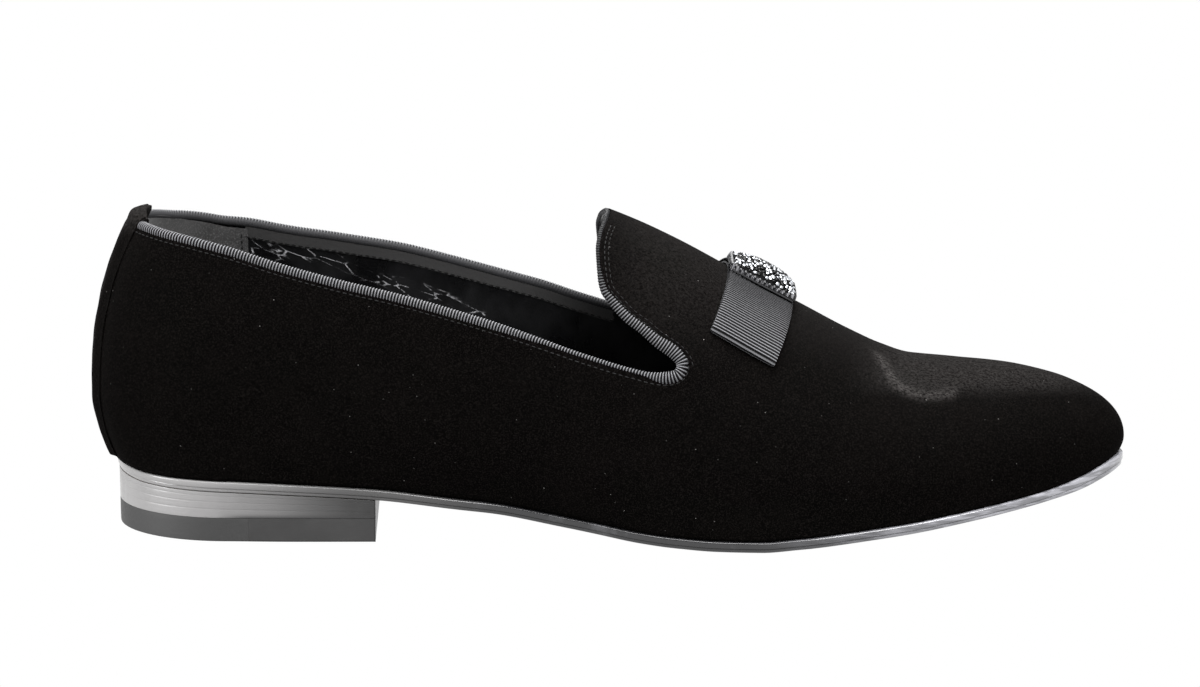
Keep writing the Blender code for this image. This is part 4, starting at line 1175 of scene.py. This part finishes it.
class SLIPPER_OT_strip(bpy.types.Operator):
    """Velvet strip over the back seam, folded over the collar as a lumpy tab"""
    bl_idname = "slipper.strip"
    bl_label = "Back strip"

    def execute(self, context):
        shoe = last()
        edge, thick, wall = shoe.trim.edge, 1.0 * MM, shoe.s.wall
        line = shoe.topline(MEDIAL, 0.0)[:280]
        shares = np.linspace(-1, 1, 41)
        crest = back_places(shoe, shares, shoe.s.collar - edge)[0]
        top = np.interp(crest[:, 0], line[:, 0], line[:, 1])
        edges = top - edge - GAP
        start = shoe.sole_top(-SEAT_BACK) + GAP + 0.001
        rings = []
        outside = back_places(shoe, shares[:, None], np.linspace(start, edges, 60, axis=1))
        turned = back_places(shoe, shares[:, None],
                             np.linspace(edges + wall / 2, edges - shoe.trim.strip_inside, 16, axis=1))
        for k, (share, high, low) in enumerate(zip(shares, top, edges)):
            point, out = outside[0][k], outside[1][k]
            soft = 1 - 0.92 * ease((abs(share) - 0.45) / 0.55)
            outer = point + (GAP + thick * soft) * out
            cover = (point + 0.5 * GAP * out)[[0, 12, 24, 36, 48, 59]]
            point, out = turned[0][k], turned[1][k]
            lining = point - (wall + 2 * GAP + thick * soft) * out
            inner = (point - (wall + 1.5 * GAP) * out)[::4]
            level = (outer[-1] - lining[0]) * (1, 1, 0)
            middle = (outer[-1] + lining[0]) / 2
            middle[2] = low
            tall = high + 2.0 * MM * (1 - 0.25 * share * share) - low
            arc = []
            lean = unit(outer[-1] - outer[-7])
            lean = lean / lean[2]
            for a in np.radians(np.linspace(8, 172, 22)):
                dent = 0.14 * math.exp(-((a - 1.75) / 0.28) ** 2)
                lobe = 1 - dent + 0.05 * math.sin(3 * a + 2.5 * share)
                rise = tall * lobe * math.sin(a) ** 0.6 * 0.98
                reach = (0.5 + 0.12 * math.sin(2 * a) ** 2) * math.cos(a)
                arc.append(middle + level * reach + lean * rise)
            over = [np.array([p[0], p[1], low + 2 * GAP]) for p in (inner[0], cover[-1])]
            rings.append(np.concatenate([outer, arc, lining, inner[::-1], over, cover[::-1]]))
        points, faces = loft(rings)
        waves = cloth_waves(points, 0.006, 0.00022)
        points = points + waves[:, None] * unit(points * (1, 1, 0))
        # the tone paints sheen on the velvet near the top of the tab
        mesh_piece("back_strip_velvet", points, faces, velvet_finish(context.scene.slipper_colours),
                   "black_velvet", ("back_strip",), 50.0, 0.07 * ease((points[:, 2] - 0.085) / 0.006))
        return {"FINISHED"}


# Bow
class Vamp:
    """Places over the ridge where the bow lies, in planes square to the ridge."""

    def __init__(self, shoe):
        self.shoe = shoe
        place = shoe.trim.bow_place
        spots = place + np.array([0, 0.004, -0.004])
        self.foot, ahead, behind = shoe.above(np.full(3, -1.0), spots, np.ones(3))
        self.along = unit(ahead - behind)
        self.up = np.array([-self.along[2], 0.0, self.along[0]])
        self.places = np.linspace(-0.015, 0.015, 31)
        self.runs = np.linspace(0.0, 0.042, 85)
        self.tables = {side: self.table(side) for side in (LATERAL, MEDIAL)}

    def table(self, side):
        """Points and normals down one side, by place along the ridge and run from it."""
        t = np.linspace(0.999, 0.30, 60)[None] + 0 * self.places[:, None]
        sides = np.full(t.shape, float(side))
        low = np.full(t.shape, self.shoe.trim.bow_place - 0.045)
        high = low + 0.09
        for _ in range(22):
            x = (low + high) / 2
            points = self.shoe.above(sides, x, t)
            short = (points - self.foot) @ self.along < self.places[:, None]
            low, high = np.where(short, x, low), np.where(short, high, x)
        rows = np.concatenate([points, self.shoe.normal(sides, x, t)], -1)
        steps = np.linalg.norm(np.diff(points, axis=1), axis=-1)
        runs = np.concatenate([0 * steps[:, :1], np.cumsum(steps, 1)], 1)
        return np.array([[np.interp(self.runs, run, row[:, k]) for k in range(6)]
                         for run, row in zip(runs, rows)]).transpose(0, 2, 1)

    def over(self, place, run, height):
        """Points above the vamp: along the ridge, round from the ridge, and outward."""
        place, run, height = np.broadcast_arrays(*(np.asarray(v, float) for v in (place, run, height)))
        i = np.clip((place - self.places[0]) / (self.places[1] - self.places[0]), 0, 29.999)
        j = np.clip(np.abs(run) / self.runs[1], 0, 83.999)
        row, column = i.astype(int), j.astype(int)
        u, v = (i - row)[..., None], (j - column)[..., None]
        found = np.zeros(run.shape + (6,))
        for side, mine in ((LATERAL, run < 0), (MEDIAL, run >= 0)):
            table = self.tables[side]
            spot = ((1 - u) * ((1 - v) * table[row, column] + v * table[row, column + 1])
                    + u * ((1 - v) * table[row + 1, column] + v * table[row + 1, column + 1]))
            found[mine] = spot[mine]
        return found[..., :3] + height[..., None] * unit(found[..., 3:])


def ribbon_band(vamp, name, made, low, high, reach, width, rib, swell, replaces=()):
    """Closed flat loop of ribbon round both sides, its ribs across the loop; its tone paints the rib
    crests light and shades the loop towards the middle.
    """
    straight = np.linspace(-reach, reach, int(2 * reach / rib * RIB_STEPS))
    turn = (high - low) / 2
    bend = np.radians(np.linspace(0, 180, 14)[1:-1])
    runs = np.concatenate([straight, straight[-1] + turn * np.sin(bend),
                           straight[::-1], straight[0] - turn * np.sin(bend)])
    lift = swell * np.exp(-((np.abs(straight) - reach * 0.78) / (reach * 0.22)) ** 2)
    heights = np.concatenate([0 * straight + low, low + turn - turn * np.cos(bend),
                              high + lift, low + turn + turn * np.cos(bend)])
    out_run = np.concatenate([0 * straight, np.sin(bend), 0 * straight, -np.sin(bend)])
    out_up = np.concatenate([0 * straight - 1, -np.cos(bend), 0 * straight + 1, np.cos(bend)])
    length_run = np.concatenate([[0], np.cumsum(np.hypot(np.diff(runs), np.diff(heights)))])
    ribs = 0.14 * MM * np.cos(2 * np.pi * length_run / rib)
    rings = []
    for place in np.linspace(-width / 2, width / 2, 20):
        edge = abs(place) / (width / 2)
        slant = 1 + RIBBON_SLANT * place / width
        thick = RIBBON_HALF * (1 - 0.35 * max(edge - 0.93, 0) / 0.07)
        sag = -0.25 * MM * (edge ** 2) * (heights > low + turn)
        out = thick + ribs * (1 - 0.5 * (edge > 0.97))
        rings.append(vamp.over(place, slant * runs + out_run * out, heights + sag + out_up * out))
    inner = [vamp.over(place, (1 + RIBBON_SLANT * place / width) * runs - out_run * RIBBON_HALF,
                       heights - out_up * RIBBON_HALF) for place in np.linspace(width / 2, -width / 2, 5)]
    sheet = np.array(rings + inner)
    rows, columns = sheet.shape[:2]
    faces = grid_faces(rows, columns, wrap_rows=True, wrap_columns=True)
    # painted highlight on the rib crests; painted shade towards the knot in the middle
    tone = np.clip(np.cos(2 * np.pi * length_run / rib), 0, 1) ** 2.5
    tone = tone * (0.30 + 0.70 * ease(np.abs(runs) / reach - 0.15))
    return mesh_piece(name, sheet.reshape(-1, 3), faces, made, "black_grosgrain", replaces, 50.0,
                      np.tile(tone, rows))


class SLIPPER_OT_bow(bpy.types.Operator):
    """Flat ribbon bow with a loop on each side, and the layer that its knot holds, painted dark as the
    shade under the knot
    """
    bl_idname = "slipper.bow"
    bl_label = "Bow"

    def execute(self, context):
        shoe = last()
        trim, vamp = shoe.trim, Vamp(shoe)
        c = context.scene.slipper_colours
        made = grosgrain_finish(c.ribbon, "bow_grosgrain", 0.38)
        low = GAP + RIBBON_HALF
        high = low + 1.5 * MM
        turn = (high - low) / 2
        ribbon_band(vamp, "ribbon_loops", made, low, high, trim.bow_reach - turn, trim.bow_width,
                    trim.ribbon_rib, 0.5 * MM, ("bow_ribbon",))
        # painted shade: the layer under the knot is the ribbon darkened as in shade
        fine = grosgrain_finish(tint(c.ribbon, 0.12), "bow_under_layer_painted_shade", 0.5)
        ribbon_band(vamp, "ribbon_under_knot", fine, high + 0.62 * MM, high + 1.05 * MM,
                    trim.knot_reach - 0.2 * MM, trim.bow_width * 0.96, trim.ribbon_rib * 0.7, 0.0)
        return {"FINISHED"}


def rounded_outline(half_x, half_y, corner, count):
    """Evenly spaced points round a rectangle with round corners, and the length round it."""
    line = []
    for sx, sy, start in ((1, 1, 0), (-1, 1, 90), (-1, -1, 180), (1, -1, 270)):
        for a in np.radians(np.linspace(start, start + 90, 8)):
            line.append((sx * (half_x - corner) + corner * math.cos(a),
                         sy * (half_y - corner) + corner * math.sin(a)))
    line.append(line[0])
    line = np.array(line)
    run = np.concatenate([[0], np.cumsum(np.linalg.norm(np.diff(line, axis=0), axis=1))])
    places = np.linspace(0, run[-1], count, endpoint=False)
    return np.stack([np.interp(places, run, line[:, k]) for k in (0, 1)], -1), run[-1]


def dome(share_x, share_y):
    return np.sqrt(np.clip((1 - share_x ** 2) * (1 - share_y ** 2), 0, 1))


class SLIPPER_OT_knot(bpy.types.Operator):
    """Knot of the bow: a firm block edged with upright bugle beads and topped with crystals"""
    bl_idname = "slipper.knot"
    bl_label = "Crystal knot"

    def execute(self, context):
        shoe, c = last(), context.scene.slipper_colours
        trim, vamp = shoe.trim, Vamp(shoe)
        half_x, half_y = trim.knot_length / 2 - KNOT_MARGIN, trim.knot_reach - KNOT_MARGIN
        seat = GAP + 2.3 * MM

        def top(x, y, lift=0.0):
            crest = vamp.foot + np.multiply.outer(x, vamp.along)
            crest[..., 1] += y
            rise = DOME_RISE * dome(x / half_x * 0.97, y / half_y * 0.97)
            high = trim.knot_height + rise - 0.3 * MM + lift
            return crest + high[..., None] * vamp.up

        ring, _ = rounded_outline(half_x, half_y, KNOT_CORNER, 96)
        floor = vamp.over(ring[:, 0], ring[:, 1], seat)
        rings = [floor, 0.5 * floor + 0.5 * top(ring[:, 0], ring[:, 1], -0.5 * MM)]
        for share in (1.0, 0.96, 0.85, 0.7, 0.5, 0.25, 0.03):
            rings.append(top(ring[:, 0] * share, ring[:, 1] * share, -0.5 * MM))
        points, faces = loft(rings)
        mesh_piece("knot_backing", points, faces, backing_finish(), "black_grosgrain",
                   ("bow_knot",), 50.0)

        beads = half_x + 0.45 * MM, half_y + 0.45 * MM, KNOT_CORNER
        count = int(round(rounded_outline(*beads, 8)[1] / trim.bead))
        ring, _ = rounded_outline(*beads, count)
        feet = vamp.over(ring[:, 0], ring[:, 1], seat - 1.1 * MM)
        heads = top(ring[:, 0] * 0.985, ring[:, 1] * 0.985, 0.15 * MM)
        tall = np.linalg.norm(heads - feet, axis=1)
        up = unit(heads - feet)
        out = unit(np.stack([ring[:, 0] ** 3 / half_x ** 3, ring[:, 1] ** 3 / half_y ** 3], -1))
        out = out[:, :1] * vamp.along + out[:, 1:] * np.array([0.0, 1.0, 0.0])
        across = unit(np.cross(up, out))
        out = np.cross(across, up)
        draw = np.random.default_rng(7)
        wide = trim.bead * (0.96 + 0.06 * draw.random(count))
        shape, faces = pill(10, 8)
        points, faces = many(shape, faces, (feet + heads) / 2, across, up, out,
                             np.stack([wide, tall * 1.02, wide], -1))
        # painted highlight down the beads' sides and round their feet, over a little random tone
        rim = (np.abs(shape[:, 0]) > 0.34) | (shape[:, 1] < -0.40)
        tones = (0.25 * draw.random(count)[:, None] + 0.75 * rim).ravel()
        mesh_piece("bugle_beads", points, faces, bead_finish(c), "crystal", (), 50.0, tones)

        stones = self.scatter(half_x + 0.3 * MM, half_y + 0.3 * MM, trim.crystals, draw)
        x, y, r = stones[:, 0], stones[:, 1], stones[:, 2]
        spots = top(x, y, -0.25 * MM)
        step = 0.2 * MM
        tilt_x = unit(top(x + step, y) - top(x - step, y))
        tilt_y = unit(top(x, y + step) - top(x, y - step))
        up = unit(np.cross(tilt_x, tilt_y))
        turn = draw.random(len(x)) * math.tau
        lean = unit(up + 0.10 * draw.normal(size=up.shape))
        a = unit(np.cos(turn)[:, None] * tilt_x + np.sin(turn)[:, None] * tilt_y)
        b = unit(np.cross(lean, a))
        shape, faces = self.stone()
        thin = 0.62 + 0.5 * draw.random(len(x))
        points, faces = many(shape, faces, spots, np.cross(b, lean), b, lean,
                             np.stack([r * 1.15, r * thin, r * 1.05], -1))
        tone = np.where(draw.random(len(x)) < 0.56, 0.45 + 0.55 * draw.random(len(x)), 0.0)
        mesh_piece("crystal_pave", points, faces, stone_finish(c), "crystal", ("bow_crystal_dome",), 12.0,
                   np.repeat(tone, len(shape)))
        return {"FINISHED"}

    def stone(self):
        """Round cut stone of unit radius: girdle, crown facets and flat table."""
        eight = np.radians(np.arange(8) * 45)
        rings = [np.stack([r * np.cos(eight + shift), r * np.sin(eight + shift), 0 * eight + z], -1)
                 for r, z, shift in ((0.75, -0.35, 0.0), (1.0, 0.05, 0.0), (1.0, 0.18, 0.0),
                                     (0.80, 0.42, math.radians(22.5)), (0.52, 0.58, 0.0))]
        return loft(rings)

    def scatter(self, half_x, half_y, count, draw):
        """Close-packed places inside the top, large stones first, then small ones between."""
        placed = []
        for radius, tries in ((0.58 * MM, 1000), (0.47 * MM, 2500), (0.38 * MM, 6000), (0.30 * MM, 9000)):
            for x, y in draw.uniform(-1, 1, (tries, 2)) * (half_x - radius * 0.6, half_y - radius * 0.6):
                if all((x - p[0]) ** 2 + (y - p[1]) ** 2 > (0.94 * (radius + p[2])) ** 2 for p in placed):
                    placed.append((x, y, radius))
                if len(placed) >= count:
                    return np.array(placed)
        return np.array(placed)


# Sole and heel
def profile_rings(shoe, xs, levels, base=None):
    """Sections across the shoe; each level is (height above the base, inset from the sole's edge)."""
    base = base or shoe.underside
    rings = []
    for side in (LATERAL, MEDIAL):
        edge = []
        for height, inset in levels(xs):
            px, py = shoe.inset(np.full(len(xs), float(side)), xs, inset)
            edge.append(np.stack([px, py, base(px) + height], -1))
        rings.append(np.stack(edge if side == LATERAL else edge[::-1], 1))
    return np.concatenate(rings, 1)


class SLIPPER_OT_sole(bpy.types.Operator):
    """Leather outsole with its polished, stepped edge and natural underside"""
    bl_idname = "slipper.sole"
    bl_label = "Outsole"

    def execute(self, context):
        shoe, c = last(), context.scene.slipper_colours
        xs = shoe.stations(SOLE_BACK, SOLE_TIP, 44, 130, 90, 89.0)

        def levels(xs):
            thick = shoe.s.sole + shoe.thickening(xs)
            step = 0.42 * thick
            for a in np.radians((90, 65, 40, 15, 0)):
                yield thick - 0.45 * MM * (1 - math.sin(a)), 0.45 * MM * (1 - math.cos(a))
            yield step + 0.18 * MM, 0.0
            yield step, 0.08 * MM
            yield step - 0.05 * MM, 0.42 * MM
            yield step - 0.20 * MM, 0.36 * MM
            for a in np.radians((0, 35, 65, 90)):
                yield 0.5 * MM * (1 - math.sin(a)), 0.38 * MM + 0.5 * MM * (1 - math.cos(a))
            yield 0.0, 3.0 * MM
            yield 0.0, 3.4 * MM

        rings = profile_rings(shoe, xs, levels)
        points, faces = loft(rings)
        around = rings.shape[1]
        column = np.arange((len(xs) - 1) * around) % around
        slots = np.zeros(len(faces), int)
        slots[:len(column)] = np.abs(column - (around // 2 - 1)) <= 3   # the underside's own leather
        mesh_piece("leather_outsole", points, faces, [edge_leather_finish(c), under_leather_finish(c)],
                   "sole_leather", ("outsole",), 40.0, slots=slots)
        return {"FINISHED"}


class SLIPPER_OT_heel(bpy.types.Operator):
    """Low stacked leather heel with a rubber back to its top piece"""
    bl_idname = "slipper.heel"
    bl_label = "Heel"

    def lift(self, shoe, xs, low, high):
        """One layer, its edges drawn in a little where it meets the next."""
        def levels(xs):
            for share, draw in ((1.0, 1.0), (0.93, 0.25), (0.80, 0.0),
                                (0.20, 0.0), (0.07, 0.25), (0.0, 1.0)):
                z = low + (high - low) * share
                yield z + 0 * xs, HEEL_TAPER * (1 - z / shoe.s.heel) + HEEL_STEP + 0.05 * MM * draw
        return loft(profile_rings(shoe, xs, levels, lambda px: 0 * px))

    def execute(self, context):
        shoe, c = last(), context.scene.slipper_colours
        s = shoe.s
        back = -SOLE_BACK * np.sin(np.radians(np.linspace(89, 0, 40)[:-1]))
        whole = np.concatenate([back, np.linspace(0, s.breast, 24)])
        under = shoe.underside(whole) - GAP * 0.5
        top = under - s.top_piece
        cuts = [s.top_piece + top * share for share in (0.0, 0.34, 0.62, 0.86)] + [under]
        front = np.linspace(s.rubber + 0.03 * MM, s.breast, 20)
        behind = np.concatenate([back, np.linspace(0, s.rubber, 6)])
        lowest = s.top_piece - 0.1 * MM
        parts = [self.lift(shoe, whole, low, high) for low, high in zip(cuts, cuts[1:])]
        parts.append(self.lift(shoe, front, 0.0, lowest))
        mesh_piece("heel_stack", *joined(parts), heel_leather_finish(c, s.breast), "heel_leather",
                   ("heel_seat_lift", "heel_main_lift", "heel_front_piece"), 40.0)
        mesh_piece("heel_rubber_back", *self.lift(shoe, behind, 0.0, lowest), rubber_finish(c),
                   "heel_rubber", ("heel_rubber_piece",), 40.0)
        return {"FINISHED"}


class SLIPPER_OT_insole(bpy.types.Operator):
    """Leather sock over the insole"""
    bl_idname = "slipper.insole"
    bl_label = "Sock"

    def execute(self, context):
        shoe, c = last(), context.scene.slipper_colours
        xs = shoe.stations(SOLE_BACK, SOLE_TIP, 30, 80, 60, 88.0)
        base = shoe.s.sole + GAP

        def levels(xs):
            rest = base + shoe.s.wall + shoe.thickening(xs)
            toe = 2.2 * MM * ease((xs / shoe.reach - 0.7) / 0.15)
            inner = shoe.s.ledge + shoe.s.wall - 0.15 * MM + toe
            yield rest + 1.2 * MM, inner + 12 * MM
            yield rest + 1.4 * MM, inner + 5 * MM
            yield rest + 1.9 * MM, inner + 1.2 * MM
            yield rest + 2.1 * MM, inner
            yield rest, inner
            yield rest - 1.6 * MM, inner + 8 * MM

        points, faces = loft(profile_rings(shoe, xs, levels))
        mesh_piece("sock", points, faces, sock_finish(c), "insole_leather", ("insole",), 50.0)
        return {"FINISHED"}


# Stage
class SLIPPER_OT_stage(bpy.types.Operator):
    """White floor, soft studio lights and the camera"""
    bl_idname = "slipper.stage"
    bl_label = "Stage"

    def execute(self, context):
        scene = context.scene
        mesh = bpy.data.meshes.new("studio_floor")
        corners = ((-1, -1), (1, -1), (1, 1), (-1, 1))
        mesh.from_pydata([(4.0 * x, 4.0 * y, -0.0002) for x, y in corners], [], [(0, 1, 2, 3)])
        floor = bpy.data.objects.new("studio_floor", mesh)
        mesh.materials.append(floor_finish(scene.slipper_colours))
        scene.collection.objects.link(floor)
        world = bpy.data.worlds.new("studio")
        world.use_nodes = True
        world.node_tree.nodes["Background"].inputs["Color"].default_value = (1.0, 1.0, 1.0, 1.0)
        world.node_tree.nodes["Background"].inputs["Strength"].default_value = 0.40
        scene.world = world
        scene.view_settings.view_transform = "Standard"
        centre = Vector((0.11, 0.0, 0.04))
        for name, spot, size, watts in (("key", (0.55, -0.75, 0.95), (0.9, 0.5), 26.0),
                                        ("back", (-0.2, 0.9, 0.9), (1.2, 0.5), 24.0),
                                        ("heel", (-0.95, -0.35, 0.30), (0.5, 0.6), 14.0),
                                        ("top", (0.1, 0.05, 1.2), (0.9, 0.9), 34.0)):
            lamp = bpy.data.lights.new(name, "AREA")
            lamp.shape = "RECTANGLE"
            lamp.size, lamp.size_y, lamp.energy = *size, watts
            light = bpy.data.objects.new(name, lamp)
            light.location = spot
            light.rotation_euler = (centre - light.location).to_track_quat("-Z", "Y").to_euler()
            scene.collection.objects.link(light)
        camera = bpy.data.cameras.new("camera")
        camera.sensor_width, camera.lens = 36.0, 306.8
        camera.clip_start, camera.clip_end = 0.1, 20.0
        view = bpy.data.objects.new("camera", camera)
        ahead, down = (middle - origin for middle, origin in zip(FRAME_MIDDLE, ORIGIN_PIXEL))
        flat, steep = math.cos(VIEW_TILT), math.sin(VIEW_TILT)
        aim = Vector((ahead / PIXELS_PER_METRE, 0.0, -down / PIXELS_PER_METRE / flat))
        view.location = aim + VIEW_DISTANCE * Vector((0.0, -flat, steep))
        view.rotation_euler = (math.radians(90.0) - VIEW_TILT, 0.0, 0.0)
        scene.collection.objects.link(view)
        scene.camera = view
        return {"FINISHED"}


class SLIPPER_PT_panel(bpy.types.Panel):
    """Sizes, colours and pieces of the slipper"""
    bl_idname = "SLIPPER_PT_panel"
    bl_label = "Velvet slipper"
    bl_space_type = "VIEW_3D"
    bl_region_type = "UI"
    bl_category = "Slipper"

    def draw(self, context):
        for label, group in (("Last and sole", context.scene.slipper_last),
                             ("Trim", context.scene.slipper_trim),
                             ("Colours", context.scene.slipper_colours)):
            box = self.layout.box()
            box.label(text=label)
            for key in type(group).__annotations__:
                box.prop(group, key)
        for step in STEPS:
            self.layout.operator(step.bl_idname)


GROUPS = {"slipper_last": SLIPPER_PG_last, "slipper_trim": SLIPPER_PG_trim,
          "slipper_colours": SLIPPER_PG_colours}
STEPS = (SLIPPER_OT_stage, SLIPPER_OT_velvet, SLIPPER_OT_lining, SLIPPER_OT_edge, SLIPPER_OT_strip,
         SLIPPER_OT_bow, SLIPPER_OT_knot, SLIPPER_OT_sole, SLIPPER_OT_heel, SLIPPER_OT_insole)
CLASSES = (*GROUPS.values(), *STEPS, SLIPPER_PT_panel)


def register():
    for one in CLASSES:
        bpy.utils.register_class(one)
    for name, group in GROUPS.items():
        setattr(bpy.types.Scene, name, PointerProperty(type=group))


def unregister():
    for name in GROUPS:
        delattr(bpy.types.Scene, name)
    for one in reversed(CLASSES):
        bpy.utils.unregister_class(one)


def main():
    register()
    for step in STEPS:
        family, name = step.bl_idname.split(".")
        getattr(getattr(bpy.ops, family), name)()


if __name__ == "__main__":
    main()
